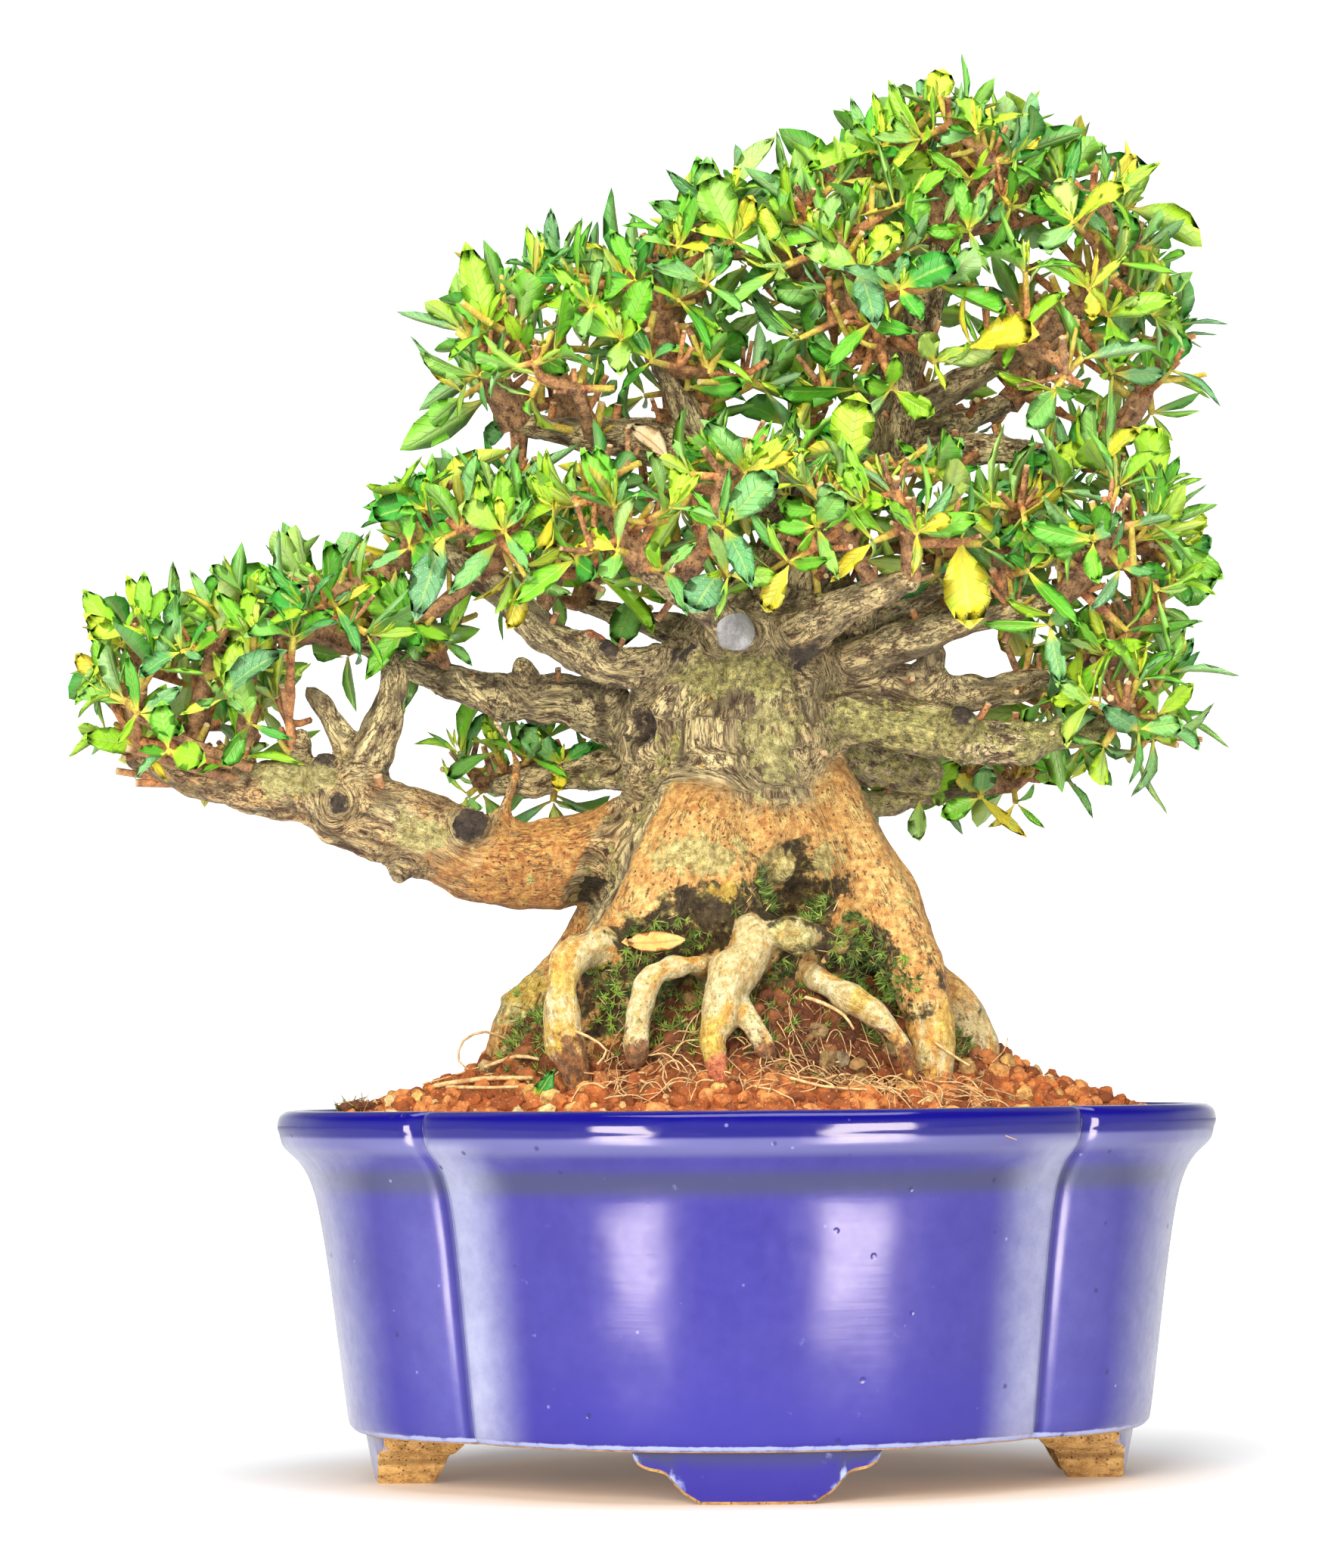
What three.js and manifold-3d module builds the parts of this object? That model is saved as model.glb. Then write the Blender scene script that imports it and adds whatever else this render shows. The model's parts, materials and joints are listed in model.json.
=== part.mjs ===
// Satsuki azalea bonsai in a lobed, glazed, four-footed pot.
// Millimetres, +Z up, x to the viewer's right, y away from the viewer. The tree and pot are drawn about
// the pot's centre, and the whole is moved at the end so that the origin is under its middle.
import * as THREE from "three";
import { mergeVertices } from "three/addons/utils/BufferGeometryUtils.js";
import Module from "manifold-3d";

// Driving dimensions.
const POT_WIDTH = 210;
const POT_DEPTH = 164;
const POT_HEIGHT = 82;
const FOOT_HEIGHT = 11;
const FLOOR_THICKNESS = 6;
const GROOVE_X = 0.683; // where two lobes meet, as a share of the half width and half depth
const GROOVE_Y = 0.6;
const LONG_LOBE_STEPS = 13;
const END_LOBE_STEPS = 7;
const DRAIN_RADIUS = 9;
const DRAIN_X = 38;
const SCREEN_SIZE = 26;
const SCREEN_THICKNESS = 1.2;
const SCREEN_PITCH = 4;
const SCREEN_HOLE_RADIUS = 1.4;
const END_FOOT_SPREAD = 0.78; // width of the feet at the pot's ends, to the front foot's
const GAP = 0.3; // between two pieces that touch
const SOIL_WALL_GAP = 0.48; // across the pot's depth, so that it is at least GAP along the flat chords
const SOIL_EDGE_HEIGHT = 79;
const SOIL_SLOPE = 34;
const ROOT_MOUND_HEIGHT = 16;
const SHOWN_SHOOTS = 0.24; // share of the shoots that are modelled as solids
const LEAVES_PER_SHOOT = 3;
const TWIG_TIP_RADIUS = 0.75;
const PIPE_POWER = 2.2; // how the sections of two twigs add up where they join
const GROWTH_STEP = 4;
const DRAWS_PER_SHOOT = 12;
const BURIED_SHARE = 0.7; // a shoot this deep inside another pad is left out
const SMALLEST_GAIN = 0.4; // a twig that comes no closer than this in one step goes straight to its shoot
const LEAF_THICKNESS = 1.1;
const BUD_RADIUS = 1;
const SMALLEST_SPRAY = 20; // mm3
const SMALLEST_OVERLAP = 1e-5; // mm3
const BLADE_SECTIONS = [[0.42, 1], [0.74, 0.8]]; // [share of the length, share of the half width]
// How a leaf is tilted and shrunk until it is clear of its neighbours: [further tilt, share of its size].
const LEAF_TRIES = [[0, 1], [0.3, 1], [-0.3, 1], [0.15, 0.75], [-0.3, 0.65], [0.5, 0.65]];

const COLOURS = {
  glaze: new THREE.MeshStandardMaterial({ color: 0x2b2fa8, roughness: 0.12, metalness: 0 }),
  soil: new THREE.MeshStandardMaterial({ color: 0x8a5230, roughness: 0.95, metalness: 0 }),
  bark: new THREE.MeshStandardMaterial({ color: 0xa4825a, roughness: 0.8, metalness: 0 }),
  leaf: new THREE.MeshStandardMaterial({ color: 0x3f9a2c, roughness: 0.45, metalness: 0 }),
  dryLeaf: new THREE.MeshStandardMaterial({ color: 0xd9a05a, roughness: 0.7, metalness: 0 }),
  paste: new THREE.MeshStandardMaterial({ color: 0xb9b6b4, roughness: 0.8, metalness: 0 }),
  screen: new THREE.MeshStandardMaterial({ color: 0x1c1c1c, roughness: 0.6, metalness: 0 }),
};

// The wood: each limb is a line of [x, y, z, radius], with the number of leafy sprays that it bears.
const LIMBS = {
  trunk: {
    sprays: 4,
    from: 0.72,
    line: [
      [3, 6, 78, 30], [2, 5, 98, 31], [1, 3, 116, 33], [0, 1, 127, 34], [-1, 0, 137, 29.5],
      [-1, 0, 147, 26], [-2, 0, 157, 25.5], [-2, 0, 167, 24.5], [1, 0, 178, 21], [7, 1, 191, 15],
      [15, 3, 207, 11], [23, 5, 224, 9], [33, 5, 241, 6.5], [41, 3, 259, 4.6], [47, 0, 278, 3],
    ],
  },
  left_leg: {
    line: [
      [-4, -7, 154, 15], [-11, -13, 138, 17], [-20, -17, 123, 15], [-27, -20, 108, 13],
      [-32, -22, 94, 11], [-34, -23, 79, 10],
    ],
  },
  right_leg: {
    line: [
      [12, -5, 154, 12], [21, -12, 140, 12], [30, -18, 127, 10], [36, -25, 114, 7.4],
      [39, -30, 103, 5.6], [40, -33, 92, 4.6], [40, -34, 80, 4],
    ],
  },
  outer_right_root: {
    line: [
      [20, -1, 142, 10.5], [28, -5, 130, 9], [35, -8, 117, 7.5], [44, -10, 106, 6.4],
      [50, -12, 96, 5.6], [52, -13, 80, 5],
    ],
  },
  outer_left_root: {
    line: [
      [-24, 0, 132, 11], [-31, 2, 120, 9.6], [-38, 4, 111, 8.6], [-48, 4, 103, 8], [-52, 4, 94, 7],
      [-54, 4, 80, 6],
    ],
  },
  back_left_root: {
    line: [
      [-8, 18, 124, 14], [-21, 33, 108, 10], [-30, 44, 95, 7], [-35, 50, 80, 6],
    ],
  },
  back_right_root: {
    line: [
      [12, 18, 124, 14], [20, 35, 108, 10], [25, 47, 95, 7], [27, 55, 80, 5],
    ],
  },
  side_right_root: {
    line: [
      [26, 10, 122, 11], [41, 23, 106, 7.4], [52, 31, 94, 6], [58, 36, 80, 5],
    ],
  },
  arched_root: {
    line: [
      [-23, -22, 117, 6], [-33, -31, 118, 4.3], [-39, -35, 114, 3.9], [-41, -38, 105, 3.8],
      [-40, -40, 96, 3.6], [-37, -42, 87, 3.4], [-35, -42, 78, 3],
    ],
  },
  small_arched_root: {
    line: [
      [-8, -27, 112, 3], [-13, -36, 114, 2.6], [-20, -41, 111, 2.5], [-24, -43, 104, 2.4],
      [-25, -44, 92, 2.2],
    ],
  },
  middle_root: {
    line: [
      [2, -22, 122, 7], [0, -32, 118, 5.9], [-3, -38, 111, 5.4], [-6, -42, 104, 4.4],
      [-8, -46, 97, 3.1], [-7, -49, 90, 2.8], [-5, -51, 80, 2.5],
    ],
  },
  middle_root_fork: {
    line: [
      [-4, -38, 107, 3.6], [0, -43, 101, 2.8], [3, -46, 94, 2.4],
    ],
  },
  bridge_root: {
    line: [
      [1, -31, 119, 3.2], [8, -33, 121, 3.5], [15, -31, 119, 3.2], [24, -28, 116, 3.4],
    ],
  },
  slanting_root: {
    line: [
      [11, -18, 114, 3.6], [14, -28, 111.5, 3.1], [19, -36.5, 107.6, 3.3], [26.5, -40, 102.6, 3],
      [32, -42, 96.5, 2.5], [35, -43, 87, 2],
    ],
  },
  low_left_limb: {
    sprays: 5,
    from: 0.5,
    line: [
      [-12, -2, 146, 13], [-30, -5, 139, 11.5], [-48, -8, 137, 10.2], [-61, -10, 139, 10],
      [-73, -11, 144, 10], [-85, -11, 149, 9.2], [-96, -9, 153, 8.2], [-107, -8, 154, 6.4],
      [-117, -6, 155, 4.8], [-128, -5, 158, 3.4], [-137, -3, 162, 2.4],
    ],
  },
  upper_left_limb: {
    sprays: 2,
    from: 0.7,
    line: [
      [-10, 5, 160, 9], [-24, 8, 168, 7.6], [-36, 11, 174, 6.4], [-47, 13, 175, 5.8], [-58, 13, 177, 5],
      [-68, 12, 180, 4.2], [-78, 10, 184, 3.2], [-88, 8, 188, 2.4],
    ],
  },
  back_left_limb: {
    sprays: 1,
    from: 1,
    line: [
      [-16, 10, 158, 6], [-32, 22, 160, 4.5], [-46, 30, 158, 3.6], [-57, 34, 157, 2.6],
    ],
  },
  mid_left_limb: {
    sprays: 3,
    from: 0.55,
    line: [
      [-2, -6, 180, 9], [-15, -9, 180, 6.6], [-30, -11, 181, 5.4], [-44, -12, 188, 4.5],
      [-53, -12, 197, 3.6], [-62, -12, 203, 3], [-70, -11, 210, 2.2],
    ],
  },
  low_right_limb: {
    sprays: 2,
    from: 0.75,
    line: [
      [8, -4, 170, 10], [22, -8, 169, 7.6], [33, -10, 167, 6.3], [44, -12, 165, 6], [55, -12, 163, 5.4],
      [64, -12, 163, 4.4], [74, -11, 165, 3.4], [84, -10, 168, 2.4],
    ],
  },
  upper_right_limb: {
    sprays: 2,
    from: 0.7,
    line: [
      [12, 0, 178, 9], [28, -4, 178, 5.6], [42, -6, 175, 4.6], [56, -6, 175, 4], [70, -5, 178, 3.2],
      [82, -3, 184, 2.4],
    ],
  },
  back_right_limb: {
    sprays: 1,
    from: 1,
    line: [
      [12, 10, 153, 6], [26, 22, 151, 4.2], [38, 28, 153, 3.4], [52, 32, 155, 2.6], [60, 34, 156, 2],
    ],
  },
  mossy_stub: {
    line: [
      [18, 8, 163, 6], [32, 15, 160, 4.6], [44, 19, 157, 4],
    ],
  },
  top_left_limb: {
    sprays: 3,
    from: 0.5,
    line: [
      [16, 3, 214, 8], [4, -1, 224, 6.5], [-10, -5, 230, 5.6], [-22, -6, 233, 4.6], [-36, -6, 234, 3.6],
      [-50, -4, 236, 2.4],
    ],
  },
  rising_left_limb: {
    sprays: 1,
    from: 1,
    line: [
      [-6, -5, 229, 4.6], [-13, -9, 239, 3.8], [-18, -10, 249, 2.6],
    ],
  },
  top_back_left_limb: {
    sprays: 2,
    from: 0.7,
    line: [
      [12, 5, 218, 6], [-6, 16, 229, 4.4], [-24, 22, 234, 3.2], [-38, 24, 238, 2.2],
    ],
  },
  top_right_limb: {
    sprays: 3,
    from: 0.55,
    line: [
      [22, 4, 222, 8], [36, 0, 228, 5], [52, -3, 230, 3.8], [66, -4, 229, 2.8], [78, -4, 227, 2],
    ],
  },
  rising_right_limb: {
    sprays: 2,
    from: 0.7,
    line: [
      [30, 2, 236, 4.6], [46, -6, 242, 3.4], [58, -9, 249, 2.6], [67, -10, 255, 2],
    ],
  },
  front_riser: {
    sprays: 1,
    from: 1,
    line: [
      [35, -3, 230, 3.8], [36, -12, 241, 3], [33, -15, 252, 2.2],
    ],
  },
  top_back_right_limb: {
    sprays: 2,
    from: 0.7,
    line: [
      [26, 6, 226, 6], [38, 18, 234, 4.2], [52, 26, 240, 3], [63, 29, 245, 2],
    ],
  },
  front_left_limb: {
    sprays: 2,
    from: 0.75,
    line: [
      [2, -8, 182, 8], [-6, -24, 190, 4.8], [-14, -34, 195, 3.4], [-22, -40, 199, 2.2],
    ],
  },
  front_right_limb: {
    sprays: 2,
    from: 0.75,
    line: [
      [10, -8, 184, 8], [17, -26, 189, 4.8], [26, -36, 193, 3.4], [36, -42, 196, 2.2],
    ],
  },
  side_right_limb: {
    sprays: 3,
    from: 0.55,
    line: [
      [16, 2, 192, 8], [34, 3, 198, 5], [54, 3, 203, 3.8], [74, 2, 206, 2.8], [88, 0, 208, 2],
    ],
  },
  near_right_limb: {
    sprays: 2,
    from: 0.75,
    line: [
      [20, -6, 181, 5], [40, -18, 186, 4], [56, -24, 190, 3], [70, -26, 194, 2.1],
    ],
  },
  mid_back_left_limb: {
    sprays: 1,
    from: 0.75,
    line: [
      [2, 8, 182, 8], [-10, 26, 190, 4.8], [-24, 37, 196, 3.2], [-37, 43, 200, 2.1],
    ],
  },
  mid_back_right_limb: {
    sprays: 1,
    from: 0.75,
    line: [
      [12, 8, 184, 8], [26, 28, 190, 4.8], [40, 39, 196, 3.2], [53, 44, 200, 2.1],
    ],
  },
};
const PRUNED_STUBS = [
  // Cut flush, facing the viewer.
  [[-61, -8, 144, 4.6], [-62, -17, 146, 3.9], [-62, -22, 147, 3.3]],
  // Bare and upright.
  [[-54, -12, 146, 3.4], [-50, -14, 159, 2.3], [-57, -15, 171, 1.9], [-65, -14, 181, 1.5]],
  // The knot where the upper left limb leaves.
  [[-17, -8, 166, 9], [-22, -13, 168, 6.5]],
  // Inside the hollow.
  [[9, -8, 135, 4], [9, -20, 135, 3.4], [9, -25, 134, 2.8]],
  // In the crown.
  [[50, -8, 231, 3], [46, -16, 240, 2.2]],
  [[13, -14, 184, 4], [16, -22, 192, 3]],
];
// Thin pieces on the front of the wood: their shape seen from the front, and the depth they lie within.
const WOUND_PASTE = {
  outline: [[-6, 183.5], [1, 183], [3, 187], [1, 192], [-2.5, 191], [-6.5, 188.5]],
  thickness: 1.2, nearY: -40, farY: -2,
};
const FALLEN_LEAF = {
  outline: [[-27, 118.5], [-24.5, 115.6], [-20.5, 114.6], [-16.5, 116], [-14.4, 119], [-20, 119.6]],
  thickness: 0.8, nearY: -60, farY: -22,
};
const CAUGHT_LEAF = {
  outline: [[-25, 226], [-16.5, 227.5], [-18, 232], [-23.5, 236.5]],
  thickness: 0.8, nearY: -30, farY: -6,
};
const HOLLOW = { centre: [11, -28, 131], radii: [9.5, 13, 10] };

// The crown: ellipsoids of foliage. Shoots end on their outer shells, above `lowest` (-1 to 1).
const PADS = [
  { centre: [50, 2, 257], radii: [50, 44, 48], shoots: 120, lowest: -0.45 },
  { centre: [-34, -2, 250], radii: [32, 34, 25], shoots: 56, lowest: -0.5 },
  { centre: [-60, -8, 208], radii: [19, 30, 15], shoots: 28, lowest: -0.4 },
  { centre: [5, -30, 206], radii: [64, 24, 20], shoots: 60, lowest: -0.5 },
  { centre: [77, -6, 203], radii: [21, 40, 28], shoots: 50, lowest: -0.8 },
  { centre: [83, -4, 171], radii: [15, 28, 15], shoots: 22, lowest: -0.8 },
  { centre: [-124, -4, 175], radii: [22, 25, 19], shoots: 36, lowest: -0.8 },
  { centre: [-95, -2, 187], radii: [28, 30, 15], shoots: 36, lowest: -0.1 },
  { centre: [10, 34, 206], radii: [70, 24, 22], shoots: 40, lowest: -0.4 },
  { centre: [-52, 36, 160], radii: [18, 14, 10], shoots: 10, lowest: -0.8 },
  { centre: [52, 34, 157], radii: [26, 12, 8], shoots: 12, lowest: -0.8 },
];

const wasm = await Module();
wasm.setup();
const { smoothstep, lerp } = THREE.MathUtils;
const up = new THREE.Vector3(0, 0, 1);

function solidOf(geometry) {
  const corners = (geometry.index ? geometry.toNonIndexed() : geometry).getAttribute("position");
  const bare = new THREE.BufferGeometry().setAttribute("position", corners);
  const merged = mergeVertices(bare, 1e-4);
  return new wasm.Manifold(
    new wasm.Mesh({
      numProp: 3,
      vertProperties: merged.attributes.position.array,
      triVerts: new Uint32Array(merged.index.array),
    }),
  );
}

function joined(solids) {
  let layer = solids;
  while (layer.length > 1) {
    const next = [];
    for (let i = 0; i < layer.length; i += 2) {
      next.push(i + 1 < layer.length ? layer[i].add(layer[i + 1]) : layer[i]);
    }
    layer = next;
  }
  return layer[0];
}

// The largest body of a solid, without any closed hollow in it or loose scrap beside it.
function largestBody(solid) {
  return solid.decompose().sort((a, b) => b.volume() - a.volume())[0];
}

function meshOf(name, solid, material) {
  const { numProp, numVert, vertProperties, triVerts } = solid.getMesh();
  const corners = new Float32Array(numVert * 3);
  for (let i = 0; i < numVert; i++) {
    corners.set(vertProperties.subarray(i * numProp, i * numProp + 3), i * 3);
  }
  const geometry = new THREE.BufferGeometry()
    .setAttribute("position", new THREE.BufferAttribute(corners, 3))
    .setIndex(new THREE.BufferAttribute(new Uint32Array(triVerts), 1));
  const mesh = new THREE.Mesh(geometry, material);
  mesh.name = name;
  return mesh;
}

// The faces of a surface through rings of points, closed at its first end only.
// Each ring has the same count, anticlockwise seen from the last ring.
// An end is closed round the given centre, or flat from its first point if there is none.
function tubeFaces(rings, firstCentre) {
  const faces = [];
  const count = rings[0].length;
  for (let j = 0; j < count; j++) {
    const k = (j + 1) % count;
    for (let i = 0; i + 1 < rings.length; i++) {
      faces.push([rings[i][j], rings[i][k], rings[i + 1][k]]);
      faces.push([rings[i][j], rings[i + 1][k], rings[i + 1][j]]);
    }
    if (firstCentre) faces.push([firstCentre, rings[0][k], rings[0][j]]);
    else if (j && k) faces.push([rings[0][0], rings[0][k], rings[0][j]]);
  }
  return faces;
}

function surfaceOf(faces) {
  const corners = faces.flat().flatMap((p) => [p.x, p.y, p.z]);
  return new THREE.BufferGeometry().setAttribute("position", new THREE.Float32BufferAttribute(corners, 3));
}

// The same surface closed at both ends.
function skinOf(rings, firstCentre, lastCentre) {
  const faces = tubeFaces(rings, firstCentre);
  const last = rings.at(-1);
  last.forEach((p, j) => {
    const k = (j + 1) % last.length;
    if (lastCentre) faces.push([lastCentre, p, last[k]]);
    else if (j && k) faces.push([last[0], p, last[k]]);
  });
  return surfaceOf(faces);
}

// A tapered tube along a line of [x, y, z, radius]: its rings of points, and the direction of its end.
function tubeShape(line, sides, extra = 0) {
  const points = line.map(([x, y, z]) => new THREE.Vector3(x, y, z));
  const tangents = points.map((p, i) =>
    points[Math.min(i + 1, points.length - 1)].clone().sub(points[Math.max(i - 1, 0)]).normalize(),
  );
  const side = new THREE.Vector3(0.3, 1, 0.2).cross(tangents[0]).normalize();
  const rings = points.map((p, i) => {
    side.addScaledVector(tangents[i], -side.dot(tangents[i])).normalize();
    const other = tangents[i].clone().cross(side);
    const radius = line[i][3] + extra;
    return Array.from({ length: sides }, (_, j) => {
      const angle = (2 * Math.PI * j) / sides;
      return p
        .clone()
        .addScaledVector(side, radius * Math.cos(angle))
        .addScaledVector(other, radius * Math.sin(angle));
    });
  });
  return { rings, axis: tangents.at(-1) };
}

function tube(line, sides, extra = 0) {
  return solidOf(skinOf(tubeShape(line, sides, extra).rings));
}

// Pot

// One lobe of the pot's plan: the arc from a to b that bulges through the middle point.
function lobe(a, middle, b, steps) {
  const chord = b.clone().sub(a);
  const half = chord.length() / 2;
  const rise = middle.distanceTo(a.clone().add(b).multiplyScalar(0.5));
  const radius = (half * half + rise * rise) / (2 * rise);
  const inward = a.clone().add(b).multiplyScalar(0.5).sub(middle).normalize();
  const centre = middle.clone().addScaledVector(inward, radius);
  const start = a.clone().sub(centre).angle();
  const sweep = 2 * Math.asin(half / radius);
  return Array.from({ length: steps }, (_, i) => {
    const angle = start + (sweep * i) / steps;
    return new THREE.Vector2(centre.x + radius * Math.cos(angle), centre.y + radius * Math.sin(angle));
  });
}

function potPlan() {
  const w = POT_WIDTH / 2;
  const d = POT_DEPTH / 2;
  const groove = (sx, sy) => new THREE.Vector2(sx * GROOVE_X * w, sy * GROOVE_Y * d);
  return [
    ...lobe(groove(1, -1), new THREE.Vector2(w, 0), groove(1, 1), END_LOBE_STEPS),
    ...lobe(groove(1, 1), new THREE.Vector2(0, d), groove(-1, 1), LONG_LOBE_STEPS),
    ...lobe(groove(-1, 1), new THREE.Vector2(-w, 0), groove(-1, -1), END_LOBE_STEPS),
    ...lobe(groove(-1, -1), new THREE.Vector2(0, -d), groove(1, -1), LONG_LOBE_STEPS),
  ];
}

const plan = potPlan();
const ring = (scale, z) => plan.map((p) => new THREE.Vector3(p.x * scale, p.y * scale, z));
const centreAt = (z) => new THREE.Vector3(0, 0, z);

// A solid whose plan is the pot's, scaled at each height. The profile is a list of [scale, z].
function lobedSolid(profile) {
  const rings = profile.map(([scale, z]) => ring(scale, z));
  return solidOf(skinOf(rings, centreAt(profile[0][1]), centreAt(profile.at(-1)[1])));
}

const FLOOR_TOP = FOOT_HEIGHT + FLOOR_THICKNESS;
const OUTER_PROFILE = [
  [0.83, FOOT_HEIGHT], [0.853, 15], [0.893, 47], [0.918, 62], [0.94, 68],
  [0.978, 72.5], [1, 76], [0.998, 80], [0.98, POT_HEIGHT],
];
const INNER_PROFILE = [[0.79, FLOOR_TOP], [0.868, 60], [0.91, 76], [0.935, POT_HEIGHT]];

// Elevation of a bracket foot, half of it: [distance from the middle, z].
const FOOT_EDGE = [[12, 0], [16.5, 3], [19.5, 6], [25, 8], [26.5, FOOT_HEIGHT + 2]];
// The feet's outer and inner faces in plan, as [scale, z].
const FEET_OUTSIDE = [[0.79, -1], [0.795, 0], [0.82, FOOT_HEIGHT + 2]];
const FEET_INSIDE = [[0.68, -2], [0.675, 0], [0.65, FOOT_HEIGHT + 3]];

function footBlock(spread, angle) {
  const right = FOOT_EDGE.map(([x, z]) => new THREE.Vector2(x * spread, z));
  const left = right.map((p) => new THREE.Vector2(-p.x, p.y)).reverse();
  const elevation = new THREE.Shape([...left, ...right]);
  const block = new THREE.ExtrudeGeometry(elevation, { depth: POT_WIDTH, bevelEnabled: false });
  return solidOf(block.rotateX(Math.PI / 2).rotateZ(angle));
}

function feet() {
  const blocks = joined([
    footBlock(1, 0), footBlock(1, Math.PI),
    footBlock(END_FOOT_SPREAD, Math.PI / 2), footBlock(END_FOOT_SPREAD, -Math.PI / 2),
  ]);
  return blocks.intersect(lobedSolid(FEET_OUTSIDE)).subtract(lobedSolid(FEET_INSIDE));
}

function cylinder(x, y, z, radius, height, sides) {
  const upright = new THREE.CylinderGeometry(radius, radius, height, sides).rotateX(Math.PI / 2);
  return solidOf(upright.translate(x, y, z));
}

function potSolid() {
  const outside = lobedSolid(OUTER_PROFILE);
  const inside = lobedSolid([...INNER_PROFILE, [0.94, POT_HEIGHT + 1]]);
  const drains = [-DRAIN_X, DRAIN_X].map((x) => {
    return cylinder(x, 0, FLOOR_TOP - FLOOR_THICKNESS + 1, DRAIN_RADIUS, 5 * FLOOR_THICKNESS, 20);
  });
  return outside.subtract(inside).add(feet()).subtract(joined(drains));
}

// Mesh over a drain hole, under the soil.
function screenSolid(x) {
  const plate = new THREE.BoxGeometry(SCREEN_SIZE, SCREEN_SIZE, SCREEN_THICKNESS);
  const z = FLOOR_TOP + GAP + SCREEN_THICKNESS / 2;
  const holes = [];
  for (const dx of [-SCREEN_PITCH, 0, SCREEN_PITCH]) {
    for (const dy of [-SCREEN_PITCH, 0, SCREEN_PITCH]) {
      holes.push(cylinder(x + dx, dy, z, SCREEN_HOLE_RADIUS, 10, 4));
    }
  }
  return solidOf(plate.translate(x, 0, z)).subtract(joined(holes));
}

// Wood

function sidesFor(radius) {
  if (radius > 20) return 16;
  if (radius > 9.5) return 8;
  return radius > 5 ? 6 : 5;
}

// Trunk, roots and limbs as one body, grown by `extra` all round.
function woodSolid(extra = 0) {
  const lines = [...Object.values(LIMBS).map((limb) => limb.line), ...PRUNED_STUBS];
  const limbs = lines.map((line) => tube(line, sidesFor(line[0][3]), extra));
  const hollow = new THREE.SphereGeometry(1, 12, 8).scale(...HOLLOW.radii.map((r) => r - extra));
  const hollowed = joined(limbs.slice(0, 3)).subtract(solidOf(hollow.translate(...HOLLOW.centre)));
  return largestBody(joined([hollowed, ...limbs.slice(3)]));
}

// A thin piece that lies against the front of the wood.
function patchOnWood(clearWood, { outline, thickness, nearY, farY }) {
  const shape = new THREE.Shape(outline.map(([x, z]) => new THREE.Vector2(x, z)));
  const block = new THREE.ExtrudeGeometry(shape, { depth: farY - nearY, bevelEnabled: false });
  const prism = solidOf(block.rotateX(Math.PI / 2).translate(0, farY, 0));
  return largestBody(woodSolid(GAP + thickness).intersect(prism).subtract(clearWood));
}

// Growth of the crown

// A seeded stream of numbers from 0 to 1.
function stream(seed) {
  let state = seed * 7919 + 17;
  const next = () => {
    state = (state * 48271) % 2147483647;
    return state / 2147483647;
  };
  for (let i = 0; i < 5; i++) next();
  return next;
}

// Ends of a pad's shoots. Each is the furthest of a few draws from those before it, so the first of them
// are spread evenly too.
function shootEnds(pad, seed) {
  const draw = stream(seed);
  const ends = [];
  while (ends.length < pad.shoots) {
    let best = null;
    let bestGap = -1;
    for (let i = 0; i < DRAWS_PER_SHOOT; i++) {
      const height = lerp(pad.lowest, 1, draw());
      const angle = 2 * Math.PI * draw();
      const flat = Math.sqrt(1 - height * height);
      const share = 0.8 + 0.2 * draw();
      const way = [flat * Math.cos(angle), flat * Math.sin(angle), height];
      const end = way.map((w, k) => pad.centre[k] + pad.radii[k] * w * share);
      let gap = 1e9;
      for (const other of ends) gap = Math.min(gap, distance(end, other.end));
      if (gap > bestGap) {
        bestGap = gap;
        best = { end, way };
      }
    }
    ends.push(best);
  }
  return ends;
}

function distance(a, b) {
  const dx = a[0] - b[0];
  const dy = a[1] - b[1];
  const dz = a[2] - b[2];
  return Math.sqrt(dx * dx + dy * dy + dz * dz);
}

function inside(point, pad, share) {
  let sum = 0;
  for (let k = 0; k < 3; k++) {
    const d = (point[k] - pad.centre[k]) / (pad.radii[k] * share);
    sum += d * d;
  }
  return sum < 1;
}

// Shoots of the whole crown, without those that would lie deep inside another pad.
function crownShoots() {
  const shoots = [];
  PADS.forEach((pad, p) => {
    shootEnds(pad, p + 1).forEach(({ end, way }, i) => {
      const buried = PADS.some((other) => other !== pad && inside(end, other, BURIED_SHARE));
      if (!buried) shoots.push({ end, way, early: i < pad.shoots * SHOWN_SHOOTS, index: shoots.length });
    });
  });
  return shoots;
}

// Where each spray leaves its limb.
function sprayRoots() {
  const roots = [];
  for (const [name, limb] of Object.entries(LIMBS)) {
    const last = limb.line.length - 1;
    for (let i = 0; i < (limb.sprays ?? 0); i++) {
      const share = limb.sprays === 1 ? 1 : lerp(limb.from, 1, i / (limb.sprays - 1));
      const at = Math.min(share * last, last - 1e-6);
      const k = Math.floor(at);
      const point = limb.line[k].map((v, c) => lerp(v, limb.line[k + 1][c], at - k));
      roots.push({ name: `spray_${name}_${i + 1}`, point: point.slice(0, 3) });
    }
  }
  return roots;
}

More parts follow.
